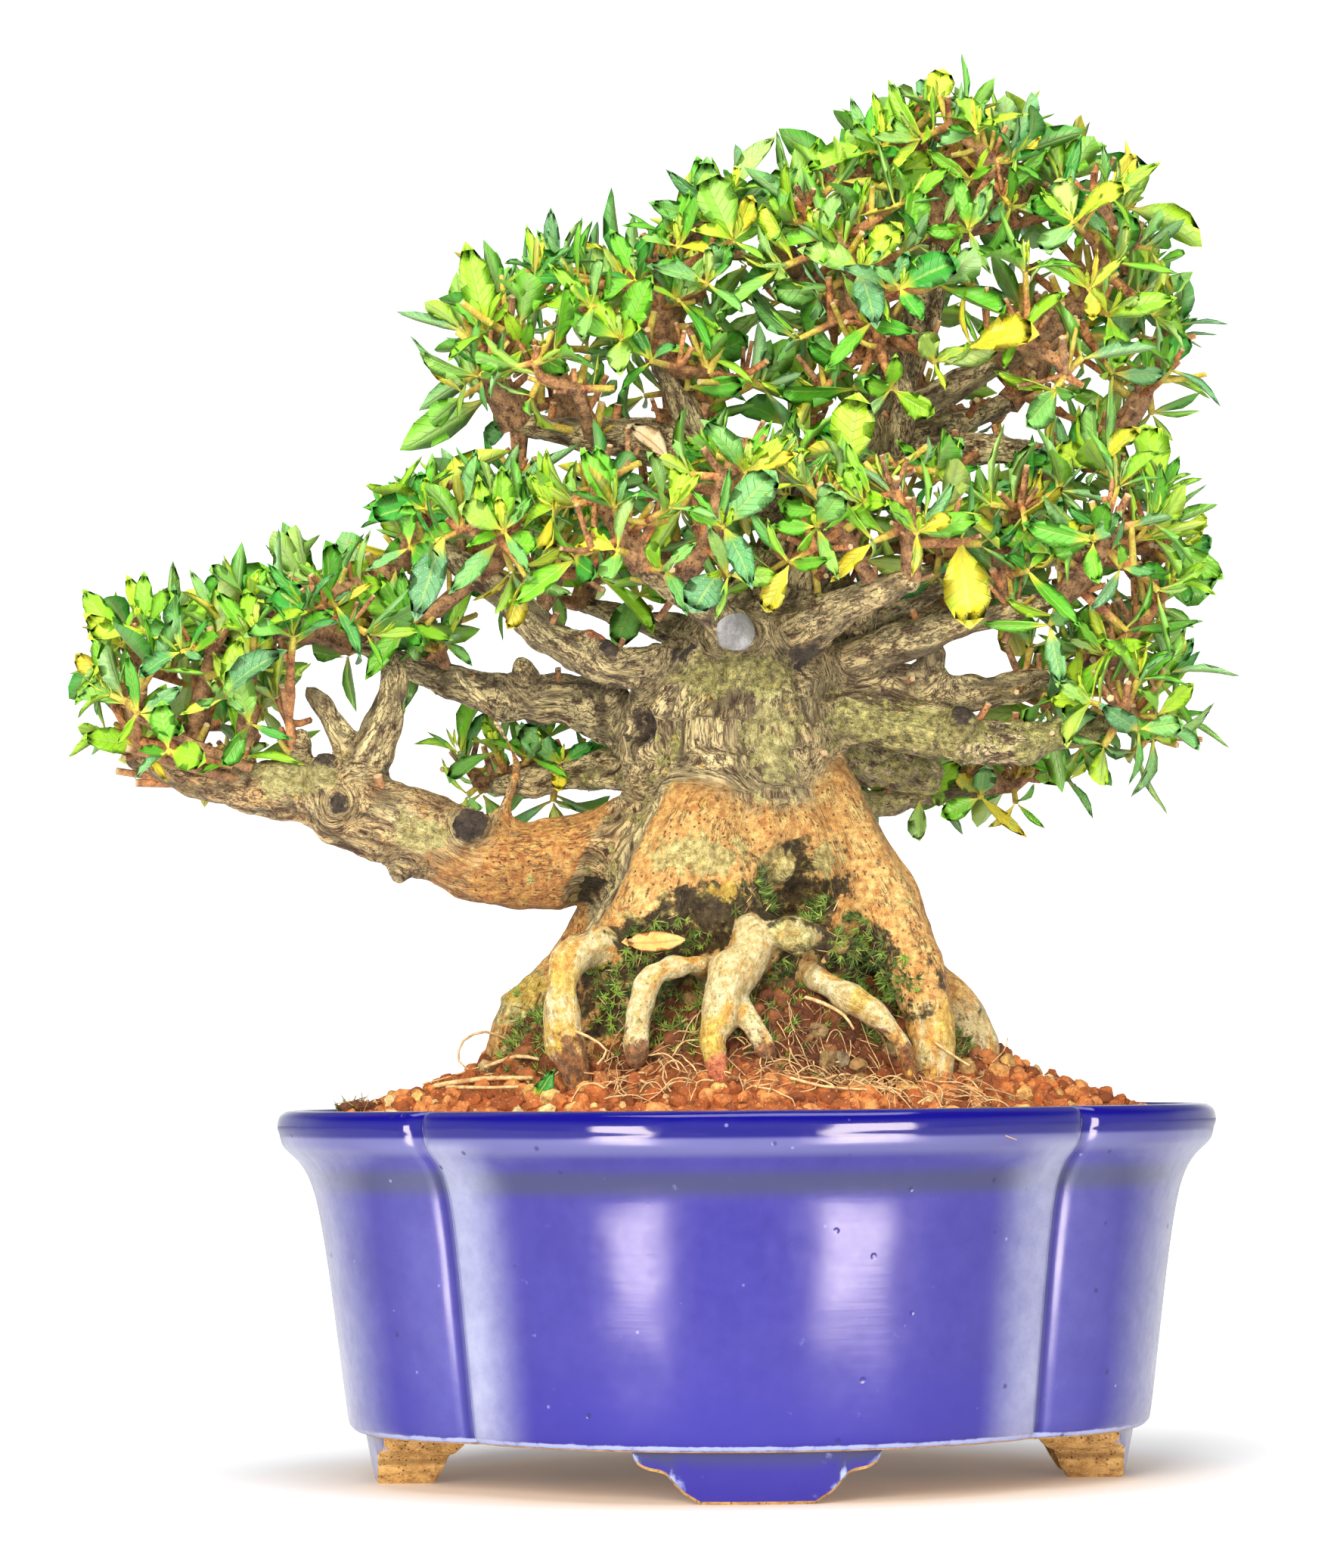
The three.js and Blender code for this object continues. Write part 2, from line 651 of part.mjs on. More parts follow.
// Twigs grow from the roots towards the shoot ends, each end pulling the nearest twig, until all are
// reached.
function growTwigs(roots, shoots) {
  const nodes = roots.map((root, i) => ({ at: root.point, parent: -1, spray: i }));
  const waiting = shoots.map((shoot) => ({ shoot, near: 0, gap: 1e9, before: 1e9 }));
  const measure = (from) => {
    for (const w of waiting) {
      for (let n = from; n < nodes.length; n++) {
        const gap = distance(nodes[n].at, w.shoot.end);
        if (gap < w.gap) {
          w.gap = gap;
          w.near = n;
        }
      }
    }
  };
  measure(0);
  while (waiting.length) {
    const pulls = new Map();
    for (const w of waiting) {
      const from = nodes[w.near].at;
      const pull = pulls.get(w.near) ?? [0, 0, 0];
      for (let k = 0; k < 3; k++) pull[k] += (w.shoot.end[k] - from[k]) / w.gap;
      pulls.set(w.near, pull);
    }
    const from = nodes.length;
    for (const n of [...pulls.keys()].sort((a, b) => a - b)) {
      const pull = pulls.get(n);
      const size = Math.max(distance(pull, [0, 0, 0]), 1e-6);
      const at = pull.map((v, k) => nodes[n].at[k] + (v / size) * GROWTH_STEP);
      nodes.push({ at, parent: n, spray: nodes[n].spray });
    }
    measure(from);
    for (let i = waiting.length - 1; i >= 0; i--) {
      const w = waiting[i];
      const closer = w.before - w.gap > SMALLEST_GAIN;
      w.before = w.gap;
      if (closer && w.gap > GROWTH_STEP * 1.5) continue;
      reach(nodes, w);
      waiting.splice(i, 1);
    }
  }
  return nodes;
}

// Goes straight from the nearest twig to the shoot's end.
function reach(nodes, { shoot, near, gap }) {
  const start = nodes[near];
  const steps = Math.max(1, Math.round(gap / GROWTH_STEP));
  let parent = near;
  for (let i = 1; i <= steps; i++) {
    const at = start.at.map((v, k) => lerp(v, shoot.end[k], i / steps));
    nodes.push({ at, parent, spray: start.spray, shoot: i === steps ? shoot : undefined });
    parent = nodes.length - 1;
  }
}

// Marks the twigs that lead to the modelled shoots, and gives each its radius.
function thicken(nodes) {
  for (const node of nodes) {
    node.flow = node.shoot ? 1 : 0;
    node.kept = Boolean(node.shoot?.early);
    node.forks = 0;
  }
  for (let n = nodes.length - 1; n >= 0; n--) {
    const node = nodes[n];
    if (node.parent < 0) continue;
    nodes[node.parent].flow += node.flow;
    if (node.kept) {
      nodes[node.parent].kept = true;
      nodes[node.parent].forks += 1;
    }
  }
  for (const node of nodes) node.radius = TWIG_TIP_RADIUS * Math.max(node.flow, 1) ** (1 / PIPE_POWER);
}

// Each kept shoot as a line from where it leaves another twig, or the limb, to its end.
function twigLines(nodes) {
  const children = nodes.map(() => []);
  nodes.forEach((node, n) => {
    if (node.kept && node.parent >= 0) children[node.parent].push(n);
  });
  for (const list of children) list.sort((a, b) => nodes[b].flow - nodes[a].flow || a - b);
  const starts = [];
  nodes.forEach((node, n) => {
    if (node.parent < 0) children[n].forEach((child) => starts.push([n, child]));
    else children[n].slice(node.shoot ? 0 : 1).forEach((child) => starts.push([n, child]));
  });
  return starts.map(([from, first]) => {
    const line = [];
    let at = first;
    let steps = 1;
    line.push([...nodes[from].at, nodes[first].radius]);
    while (true) {
      const here = nodes[at];
      const next = children[at][0];
      const end = next === undefined || here.shoot;
      if (end || steps % 3 === 0 || children[at].length > 1) line.push([...here.at, here.radius]);
      if (end) return { spray: here.spray, line, shoot: here.shoot };
      at = next;
      steps += 1;
    }
  });
}

// Leaves

// The cross-sections of a blade, flat above and keeled below, and its tip.
// It starts at `base` along x, its upper face looks along z, and it arches down.
function bladeSections(base, x, y, z, leaf) {
  const at = (share, side, height) => {
    const fall = leaf.length * (0.12 * share - leaf.arch * share * share);
    return base
      .clone()
      .addScaledVector(x, leaf.length * share)
      .addScaledVector(y, side)
      .addScaledVector(z, height + fall);
  };
  const section = ([share, width]) => {
    const half = leaf.length * leaf.plump * width;
    return [at(share, 0, -LEAF_THICKNESS), at(share, half, 0), at(share, -half, 0)];
  };
  return { rings: BLADE_SECTIONS.map(section), tip: at(1, 0, -LEAF_THICKNESS / 3) };
}

// The leaves of one shoot: their length, width, arch, and tilt from the shoot's axis.
function leavesOf(shoot) {
  const draw = stream(1000 + shoot.index);
  return Array.from({ length: LEAVES_PER_SHOOT }, () => ({
    tilt: 0.85 + 0.55 * draw(),
    length: 13 + 8 * draw() * draw(),
    plump: 0.19 + 0.05 * draw(),
    arch: 0.1 + 0.3 * draw(),
  }));
}

// The end of a shoot: `low` is the last ring of its twig, the leaves stand on the sides of a small bud.
// Returns the open surface that closes the twig, and each leaf as a solid of its own for the clearance test.
function rosette(low, axis, leaves, isFree) {
  const centre = new THREE.Vector3();
  low.forEach((p) => centre.addScaledVector(p, 1 / low.length));
  const count = low.length;
  const high = low.map((p, i) => {
    const between = p.clone().add(low[(i + count - 1) % count]).multiplyScalar(0.5).sub(centre);
    return centre.clone().addScaledVector(between.normalize(), BUD_RADIUS).addScaledVector(axis, BUD_RADIUS);
  });
  const bud = centre.clone().addScaledVector(axis, 2.2 * BUD_RADIUS);
  const faces = [];
  const skin = (from, to) => {
    for (let j = 0; j < 3; j++) {
      const k = (j + 1) % 3;
      faces.push([from[j], from[k], to[k]], [from[j], to[k], to[j]]);
    }
  };
  leaves.forEach((leaf, i) => {
    const next = (i + 1) % count;
    const foot = [low[i], high[next], high[i]];
    const base = high[i].clone().add(high[next]).multiplyScalar(0.5);
    const outward = low[i].clone().sub(centre).normalize();
    faces.push([low[i], low[next], high[next]], [high[i], high[next], bud]);
    for (const [lean, shrink] of LEAF_TRIES) {
      const tilt = leaf.tilt + lean;
      const x = axis.clone().multiplyScalar(Math.cos(tilt)).addScaledVector(outward, Math.sin(tilt));
      const z = axis.clone().addScaledVector(x, -axis.dot(x)).normalize();
      const blade = bladeSections(base, x, z.clone().cross(x), z, { ...leaf, length: leaf.length * shrink });
      if (!isFree(solidOf(skinOf([foot, ...blade.rings], undefined, blade.tip)))) continue;
      skin(foot, blade.rings[0]);
      skin(blade.rings[0], blade.rings[1]);
      blade.rings[1].forEach((p, j) => faces.push([blade.tip, p, blade.rings[1][(j + 1) % 3]]));
      return;
    }
    faces.push(foot);
  });
  return faces;
}

function boxOf(solid) {
  const { min, max } = solid.boundingBox();
  return new THREE.Box3(new THREE.Vector3(...min), new THREE.Vector3(...max));
}

function crosses(solid, box, others) {
  return others
    .filter((other) => box.intersectsBox(other.box))
    .some((other) => solid.intersect(other.solid).volume() > SMALLEST_OVERLAP);
}

// The sprays: twigs and leaves fused, clear of each other and of the wood.
function spraySolids(clearWood) {
  const shoots = crownShoots();
  const roots = sprayRoots();
  const nodes = growTwigs(roots, shoots);
  thicken(nodes);
  const twigs = twigLines(nodes).map((twig) => {
    const shape = tubeShape(twig.line, LEAVES_PER_SHOOT);
    const roomy = tube(twig.line, LEAVES_PER_SHOOT, 2 * GAP);
    return { ...twig, shape, solid: roomy, box: boxOf(roomy) };
  });
  const wood = { solid: clearWood, box: boxOf(clearWood) };
  const placed = [wood, ...twigs];
  const sprays = roots.map((root) => ({ name: root.name, pieces: [] }));
  for (const twig of twigs) {
    const isFree = (leaf) => {
      const box = boxOf(leaf);
      if (crosses(leaf, box, placed.filter((p) => p !== twig))) return false;
      placed.push({ solid: leaf, box });
      return true;
    };
    const faces = rosette(twig.shape.rings.at(-1), twig.shape.axis, leavesOf(twig.shoot), isFree);
    sprays[twig.spray].pieces.push(solidOf(surfaceOf([...tubeFaces(twig.shape.rings), ...faces])));
  }
  return sprays
    .filter((spray) => spray.pieces.length)
    .flatMap((spray) => {
      const cut = joined(spray.pieces).subtract(clearWood);
      const bodies = cut.decompose().filter((body) => body.volume() > SMALLEST_SPRAY);
      return bodies.map((solid, i) => ({ solid, name: spray.name + (bodies.length > 1 ? "abcd"[i] : "") }));
    });
}

// Soil

const SOIL_WALL_HEIGHTS = [60, 76];
const SOIL_TOP_HEIGHT = 78;
// Rings of the soil's top, as shares of the way from the middle to the wall.
const SOIL_RINGS = [1, 0.88, 0.76, 0.66, 0.56, 0.44, 0.22];

const soilInside = (z) => {
  const i = INNER_PROFILE.findIndex(([, height]) => height >= z);
  if (i <= 0) return INNER_PROFILE[0][0];
  const [s0, z0] = INNER_PROFILE[i - 1];
  const [s1, z1] = INNER_PROFILE[i];
  return lerp(s0, s1, (z - z0) / (z1 - z0));
};

// Height of the soil at a share of the way from the middle to the wall, with its crumbs.
function soilHeight(share, draw) {
  const slope = SOIL_SLOPE * (1 - Math.max(share, 0.5));
  const mound = ROOT_MOUND_HEIGHT * (1 - smoothstep(share, 0.3, 0.68));
  return SOIL_EDGE_HEIGHT + slope + mound + (draw() - 0.5) * 2;
}

function soilSolid(clearWood) {
  const draw = stream(77);
  const wall = (z) => soilInside(z) - SOIL_WALL_GAP / (POT_DEPTH / 2);
  const base = FLOOR_TOP + GAP;
  const rings = [base, ...SOIL_WALL_HEIGHTS].map((z) => ring(wall(z), z));
  for (const share of SOIL_RINGS) {
    rings.push(
      ring(wall(SOIL_TOP_HEIGHT) * share, 0).map((p) => {
        const z = soilHeight(share, draw) - (share === 1 ? 1 : 0);
        return new THREE.Vector3(p.x, p.y, z);
      }),
    );
  }
  const heap = solidOf(skinOf(rings, centreAt(base), centreAt(soilHeight(0, draw))));
  const pockets = [-DRAIN_X, DRAIN_X].map((x) => {
    const size = SCREEN_SIZE + 2 * GAP;
    const height = SCREEN_THICKNESS + 2 * GAP;
    return solidOf(new THREE.BoxGeometry(size, size, height).translate(x, 0, FLOOR_TOP + height / 2));
  });
  return largestBody(heap.subtract(joined(pockets)).subtract(clearWood));
}

// The whole

const clearWood = woodSolid(GAP);
const bonsai = new THREE.Group();
bonsai.name = "satsuki_azalea_bonsai";
bonsai.add(meshOf("pot", potSolid(), COLOURS.glaze));
bonsai.add(meshOf("drain_screen_left", screenSolid(-DRAIN_X), COLOURS.screen));
bonsai.add(meshOf("drain_screen_right", screenSolid(DRAIN_X), COLOURS.screen));
bonsai.add(meshOf("soil", soilSolid(clearWood), COLOURS.soil));
bonsai.add(meshOf("trunk", woodSolid(), COLOURS.bark));
bonsai.add(
  meshOf("wound_paste", patchOnWood(clearWood, WOUND_PASTE), COLOURS.paste),
  meshOf("fallen_leaf", patchOnWood(clearWood, FALLEN_LEAF), COLOURS.dryLeaf),
  meshOf("caught_leaf", patchOnWood(clearWood, CAUGHT_LEAF), COLOURS.dryLeaf),
);
for (const { name, solid } of spraySolids(clearWood)) bonsai.add(meshOf(name, solid, COLOURS.leaf));

const extent = new THREE.Box3().setFromObject(bonsai);
bonsai.position.set(-(extent.min.x + extent.max.x) / 2, -(extent.min.y + extent.max.y) / 2, 0);

export default bonsai;
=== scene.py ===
import json
from math import asin, atan2, cos, hypot, pi, radians, sin, sqrt

import bmesh
import bpy
import numpy as np
from mathutils import Matrix, Vector, noise
from mathutils.bvhtree import BVHTree
from numpy.linalg import norm

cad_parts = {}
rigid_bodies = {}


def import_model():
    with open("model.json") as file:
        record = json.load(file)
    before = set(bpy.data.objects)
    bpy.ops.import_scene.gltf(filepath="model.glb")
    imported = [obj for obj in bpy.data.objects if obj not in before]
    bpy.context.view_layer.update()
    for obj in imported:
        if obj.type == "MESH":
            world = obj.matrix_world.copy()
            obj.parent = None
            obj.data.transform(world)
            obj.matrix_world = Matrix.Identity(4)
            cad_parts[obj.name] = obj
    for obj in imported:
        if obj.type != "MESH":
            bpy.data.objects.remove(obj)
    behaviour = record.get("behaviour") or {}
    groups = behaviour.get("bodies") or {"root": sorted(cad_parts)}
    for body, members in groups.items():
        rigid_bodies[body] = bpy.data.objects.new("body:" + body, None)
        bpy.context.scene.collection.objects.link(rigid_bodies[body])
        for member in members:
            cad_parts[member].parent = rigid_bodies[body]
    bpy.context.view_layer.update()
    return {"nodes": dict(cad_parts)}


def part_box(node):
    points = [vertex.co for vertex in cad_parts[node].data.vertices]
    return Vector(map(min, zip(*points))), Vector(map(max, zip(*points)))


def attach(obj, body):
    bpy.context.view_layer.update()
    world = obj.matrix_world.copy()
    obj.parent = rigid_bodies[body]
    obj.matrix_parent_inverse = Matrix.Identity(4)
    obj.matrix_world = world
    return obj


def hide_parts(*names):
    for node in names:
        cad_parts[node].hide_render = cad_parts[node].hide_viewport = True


# Satsuki azalea bonsai in a lobed blue pot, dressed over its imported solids.
# Shapes are worked out in millimetres about the pot's centre and placed in metres.
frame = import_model()

MM = 0.001
POT_X = (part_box("pot")[0].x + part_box("pot")[1].x) / 2 / MM
# A way that no limb or rod runs in, which their first side is set square to.
ANY_SIDE = (0.3, 1, 0.2)
# About a full turn, for random ones, and the turn from one leaf or blade to the next.
ROUND = 6.28
NEXT_TURN = 2.4


# Small tools

def link(made):
    bpy.context.scene.collection.objects.link(made)


def placed(points):
    """Millimetres about the pot's centre, as metres in the frame."""
    return (np.asarray(points, float) + (POT_X, 0, 0)) * MM


def lerp(a, b, share):
    return a + (b - a) * share


def smooth(low, high, value):
    share = np.clip((np.asarray(value, float) - low) / (high - low), 0, 1)
    return share * share * (3 - 2 * share)


def turned(side, other, angle):
    return side * cos(angle) + other * sin(angle)


def unit(vector):
    return vector / max(norm(vector), 1e-9)


def stream(seed):
    """A seeded stream of numbers from 0 to 1, the same as the solids' own."""
    state = seed * 7919 + 17

    def draw():
        nonlocal state
        state = state * 48271 % 2147483647
        return state / 2147483647

    for _ in range(5):
        draw()
    return draw


def curve_through(points, steps):
    """Points on a smooth curve through the given ones, with `steps` between two of them."""
    points = np.asarray(points, float)
    ends = np.vstack([2 * points[0] - points[1], points, 2 * points[-1] - points[-2]])
    found = []
    for i in range(1, len(ends) - 2):
        a, b, c, d = ends[i - 1:i + 3]
        for k in range(steps):
            t = k / steps
            found.append(0.5 * (
                2 * b + (c - a) * t + (2 * a - 5 * b + 4 * c - d) * t**2 + (3 * b - a - 3 * c + d) * t**3
            ))
    found.append(points[-1])
    return np.array(found)


def mesh_object(name, points, faces, materials=(), edges=()):
    """An object at the origin whose mesh holds its place. The points are in millimetres."""
    mesh = bpy.data.meshes.new(name)
    mesh.from_pydata(placed(points).tolist(), list(edges), faces)
    mesh.update()
    paint(mesh, *materials)
    made = bpy.data.objects.new(name, mesh)
    link(made)
    return made


def turned_object(name, points, faces, materials=()):
    """An object whose faces are all turned outward if they enclose a negative volume."""
    made = mesh_object(name, points, faces, materials)
    turn_outward(made.data)
    return made


def turn_outward(mesh):
    mesh.calc_loop_triangles()
    corners = coords_of(mesh)[[list(t.vertices) for t in mesh.loop_triangles]]
    if np.einsum("ij,ij->", corners[:, 0], np.cross(corners[:, 1], corners[:, 2])) < 0:
        mesh.flip_normals()


def coords_of(mesh):
    found = np.empty(len(mesh.vertices) * 3, np.float32)
    mesh.vertices.foreach_get("co", found)
    return found.reshape(-1, 3).astype(float)


def millimetres(mesh):
    return coords_of(mesh) / MM - (POT_X, 0, 0)


def set_millimetres(mesh, points):
    mesh.vertices.foreach_set("co", placed(points).astype(np.float32).ravel())
    mesh.update()


def set_values(mesh, **named):
    """Named numbers, whole numbers or vectors at the mesh's vertices."""
    for name, values in named.items():
        values = np.asarray(values)
        kind = "FLOAT_VECTOR" if values.ndim == 2 else "INT" if values.dtype.kind == "i" else "FLOAT"
        values = values.astype(np.int32 if kind == "INT" else np.float32)
        layer = mesh.attributes.new(name, kind, "POINT")
        layer.data.foreach_set("vector" if kind == "FLOAT_VECTOR" else "value", values.ravel())


def plain_mesh(source, name):
    """The source object with its modifiers applied, as a new object. The source goes."""
    graph = bpy.context.evaluated_depsgraph_get()
    mesh = bpy.data.meshes.new_from_object(source.evaluated_get(graph))
    mesh.name = name
    made = bpy.data.objects.new(name, mesh)
    link(made)
    drop(source)
    return made


def drop(*objects):
    for gone in objects:
        bpy.data.objects.remove(gone)


def modified(source, kind, **settings):
    """The source object with one modifier applied."""
    modifier = source.modifiers.new("step", kind)
    for key, value in settings.items():
        setattr(modifier, key, value)
    return plain_mesh(source, source.name)


def paint(mesh, *materials):
    mesh.materials.clear()
    for material in materials:
        mesh.materials.append(material)


def shade(piece, angle=180):
    mesh = piece.data
    mesh.shade_smooth()
    if angle < 180:
        mesh.set_sharp_from_angle(angle=radians(angle))


def finish_piece(piece, slot, *replaced):
    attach(piece, "root")
    if replaced:
        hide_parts(*replaced)


def loft(rings, first_centre=None, last_centre=None):
    """Points and faces of a surface through closed rings, each anticlockwise seen from the last one."""
    count = len(rings[0])
    points = [p for ring in rings for p in ring]
    faces = []
    for i in range(len(rings) - 1):
        for j in range(count):
            k = (j + 1) % count
            faces.append((i * count + j, i * count + k, (i + 1) * count + k, (i + 1) * count + j))
    if first_centre is not None:
        points.append(first_centre)
        faces += [(len(points) - 1, (j + 1) % count, j) for j in range(count)]
    if last_centre is not None:
        points.append(last_centre)
        start = (len(rings) - 1) * count
        faces += [(len(points) - 1, start + j, start + (j + 1) % count) for j in range(count)]
    return np.array(points, float), faces


# Nodes

class Nodes:
    """A node tree, and short calls for the nodes made in it. A node given as a value is its first output.
    A node's kind is given without the tree's own family."""

    FAMILY = "ShaderNode"

    def __init__(self, tree):
        self.tree = tree

    def connect(self, socket, value):
        if isinstance(value, bpy.types.Node):
            value = value.outputs[0]
        if isinstance(value, bpy.types.NodeSocket):
            self.tree.links.new(value, socket)
        else:
            socket.default_value = value

    def node(self, kind, inputs=None, **settings):
        made = self.tree.nodes.new(kind if "Node" in kind else self.FAMILY + kind)
        for key, value in settings.items():
            setattr(made, key, value)
        for key, value in (inputs or {}).items():
            self.connect(made.inputs[key], value)
        return made

    def group(self, tree, **inputs):
        return self.node("Group", inputs, node_tree=tree)

    def maths(self, operation, a, b=0.0, c=0.0, clamp=False):
        return self.node("ShaderNodeMath", {0: a, 1: b, 2: c}, operation=operation, use_clamp=clamp)

    def times(self, a, b, clamp=False):
        return self.maths("MULTIPLY", a, b, clamp=clamp)

    def scaled(self, value, factor, offset):
        return self.maths("MULTIPLY_ADD", value, factor, offset)

    def ease(self, value, low, high, to_low=0.0, to_high=1.0):
        """The value's place between low and high, eased."""
        inputs = {"Value": value, "From Min": low, "From Max": high, "To Min": to_low, "To Max": to_high}
        return self.node("MapRange", inputs, interpolation_type="SMOOTHSTEP")

    def grain(self, scale, detail=3.0, roughness=0.55, place=None):
        inputs = {"Vector": place or self.place, "Scale": scale, "Detail": detail, "Roughness": roughness}
        return self.node("TexNoise", inputs)

    def parts(self, vector):
        return self.node("SeparateXYZ", {0: vector}).outputs


class Group(Nodes):
    """A new node group with named sockets. An input is given as its value, or as its kind alone."""

    def __init__(self, name, kind, inputs, outputs):
        super().__init__(bpy.data.node_groups.new(name, kind))
        sockets = self.tree.interface.new_socket
        for key, value in inputs.items():
            kind = {int: "Int", float: "Float"}.get(type(value), value)
            made = sockets(key, in_out="INPUT", socket_type="NodeSocket" + kind)
            if kind is not value:
                made.default_value = value
        for key, socket in outputs.items():
            sockets(key, in_out="OUTPUT", socket_type="NodeSocket" + socket)
        self.given = self.tree.nodes.new("NodeGroupInput").outputs
        self.place = self.given.get("Vector")
        self.out = self.tree.nodes.new("NodeGroupOutput").inputs

    def end(self, value):
        self.connect(self.out[0], value)
        return self.tree


def mottle_group():
    """Uneven tone: broad clouds with finer ones in them."""
    inputs = {"Vector": "Vector", "Size": 10.0, "Contrast": 1.0}
    mottle = Group("mottle", "ShaderNodeTree", inputs, {"Value": "Float"})
    scale = mottle.maths("DIVIDE", 1.0, mottle.given["Size"])
    fine = mottle.grain(mottle.times(scale, 5.3))
    both = mottle.scaled(fine, 0.4, mottle.times(mottle.grain(scale, 2.0), 0.6))
    spread = mottle.scaled(mottle.maths("SUBTRACT", both, 0.5), mottle.given["Contrast"], 0.5)
    return mottle.end(mottle.times(spread, 1.0, clamp=True))


def ragged_group():
    """A soft mask with its edge broken up by noise."""
    inputs = {
        "Mask": 0.0, "Vector": "Vector", "Size": 3.0,
        "Raggedness": 1.0, "Softness": 0.12,
    }
    edge = Group("ragged_mask", "ShaderNodeTree", inputs, {"Mask": "Float"})
    given = edge.given
    rough = edge.grain(edge.maths("DIVIDE", 1.0, given["Size"]), 5.0, 0.65)
    swing = edge.times(edge.maths("SUBTRACT", rough, 0.5), given["Raggedness"])
    low, high = (edge.maths(side, 0.5, given["Softness"]) for side in ("SUBTRACT", "ADD"))
    return edge.end(edge.ease(edge.maths("ADD", given["Mask"], swing), low, high))


def speckle_group():
    """Scattered specks of about one size."""
    inputs = {"Vector": "Vector", "Size": 2.0, "Share": 0.3}
    specks = Group("speckle", "ShaderNodeTree", inputs, {"Mask": "Float"})
    scale = specks.maths("DIVIDE", 1.0, specks.given["Size"])
    inputs = {"Vector": specks.place, "Scale": scale, "Randomness": 1.0}
    cells = specks.node("TexVoronoi", inputs).outputs
    chosen = specks.node("SeparateColor", {0: cells["Color"]})
    picked = specks.maths("LESS_THAN", chosen, specks.given["Share"])
    return specks.end(specks.times(specks.ease(cells["Distance"], 0.32, 0.12), picked))


MOTTLE = mottle_group()
RAGGED = ragged_group()
SPECKLE = speckle_group()


class Finish(Nodes):
    """A material with one Principled shader, painted coat by coat."""

    def __init__(self, name, colour, **settings):
        self.material = bpy.data.materials.new(name)
        self.material.use_nodes = True
        self.material.diffuse_color = (*colour, 1)
        super().__init__(self.material.node_tree)
        self.shader = self.tree.nodes["Principled BSDF"].inputs
        for key, value in {"Base_Color": (*colour, 1), **settings}.items():
            self.shader[key.replace("_", " ")].default_value = value
        self.place = self.object_mm()

    def object_mm(self, stretch=(1, 1, 1)):
        """The surface's own coordinates in millimetres."""
        place = self.node("TexCoord").outputs["Object"]
        return self.node("Mapping", {"Vector": place, "Scale": [s / MM for s in stretch]})

    def link(self, value, name):
        self.connect(self.shader[name], value)

    def read(self, name, output="Fac"):
        return self.node("Attribute", attribute_name=name).outputs[output]

    def mix(self, share, a, b, mode="MIX"):
        """A blend of two colours, each a socket, a node or its red, green and blue."""
        a, b = ((*value, 1) if isinstance(value, tuple) else value for value in (a, b))
        inputs = {0: share, 6: a, 7: b}
        return self.node("Mix", inputs, data_type="RGBA", blend_type=mode).outputs[2]

    def coat(self, share, colour, strength=None):
        """Paints a colour over what is there, as thick as the share times the strength."""
        share = share if strength is None else self.times(share, strength)
        self.colour = self.mix(share, self.colour, colour)

    def ground(self, size, contrast, dark, light):
        """Starts the colour as clouds of two tones. Returns the clouds."""
        clouds = self.clouds(size, contrast)
        self.colour = self.mix(clouds, dark, light)
        return clouds

    def clouds(self, size, contrast, place=None):
        return self.group(MOTTLE, Vector=place or self.place, Size=size, Contrast=contrast)

    def specks(self, size, share, place=None):
        return self.group(SPECKLE, Vector=place or self.place, Size=size, Share=share)

    def ragged(self, mask, size, raggedness, softness=0.06, place=None):
        """A mask from an attribute, or from a plain share, with its edge broken up."""
        return self.group(
            RAGGED, Mask=self.read(mask) if isinstance(mask, str) else mask, Vector=place or self.place,
            Size=size, Raggedness=raggedness, Softness=softness,
        )

    def ramp(self, value, stops):
        """The value's colour on a ramp of [place, colour]."""
        made = self.node("ValToRGB", {0: value})
        elements = made.color_ramp.elements
        for i, (at, colour) in enumerate(stops):
            element = elements[i] if i < 2 else elements.new(at)
            element.position = at
            element.color = (*colour, 1)
        return made.outputs[0]

    def done(self, height, distance, strength=1.0):
        """Links the colour and the bump, whose distance is in millimetres. Returns the material."""
        self.link(self.colour, "Base Color")
        inputs = {"Height": height, "Distance": distance * MM, "Strength": strength}
        self.link(self.node("Bump", inputs), "Normal")
        return self.material


# Camera, light and floor

PHOTO_HEIGHT_PX = 2073
FOCAL_PX = 5880
CAMERA_PLACE = (-25, -1000, 92)
CAMERA_YAW = radians(0.45)
CAMERA_PITCH = radians(3.6)
CAMERA_ROLL = radians(-0.5)
TABLE_EDGE = 200
TABLE_REACH = 6000
# Half the width and depth of the pot's shade on the table, where a warm shadow is painted and the floor's
# glow dips.
SHADE_REACH = (95, 78)
FLOOR_GLOW = (0.4, 1.0)
FLOOR_BOUNCE = 0.1


def add_camera():
    data = bpy.data.cameras.new("camera")
    data.sensor_width = 36
    data.lens = data.sensor_width * FOCAL_PX / PHOTO_HEIGHT_PX
    data.clip_start = 0.05
    data.clip_end = 50
    camera = bpy.data.objects.new("camera", data)
    flat = cos(CAMERA_PITCH)
    ahead = Vector((sin(CAMERA_YAW) * flat, cos(CAMERA_YAW) * flat, sin(CAMERA_PITCH)))
    level = Vector((cos(CAMERA_YAW), -sin(CAMERA_YAW), 0))
    upright = level.cross(ahead)
    across = turned(level, upright, CAMERA_ROLL)
    upward = upright * cos(CAMERA_ROLL) - level * sin(CAMERA_ROLL)
    turn = Matrix((across, upward, -ahead)).transposed().to_4x4()
    camera.matrix_world = Matrix.Translation(placed(CAMERA_PLACE)) @ turn
    link(camera)
    bpy.context.scene.camera = camera


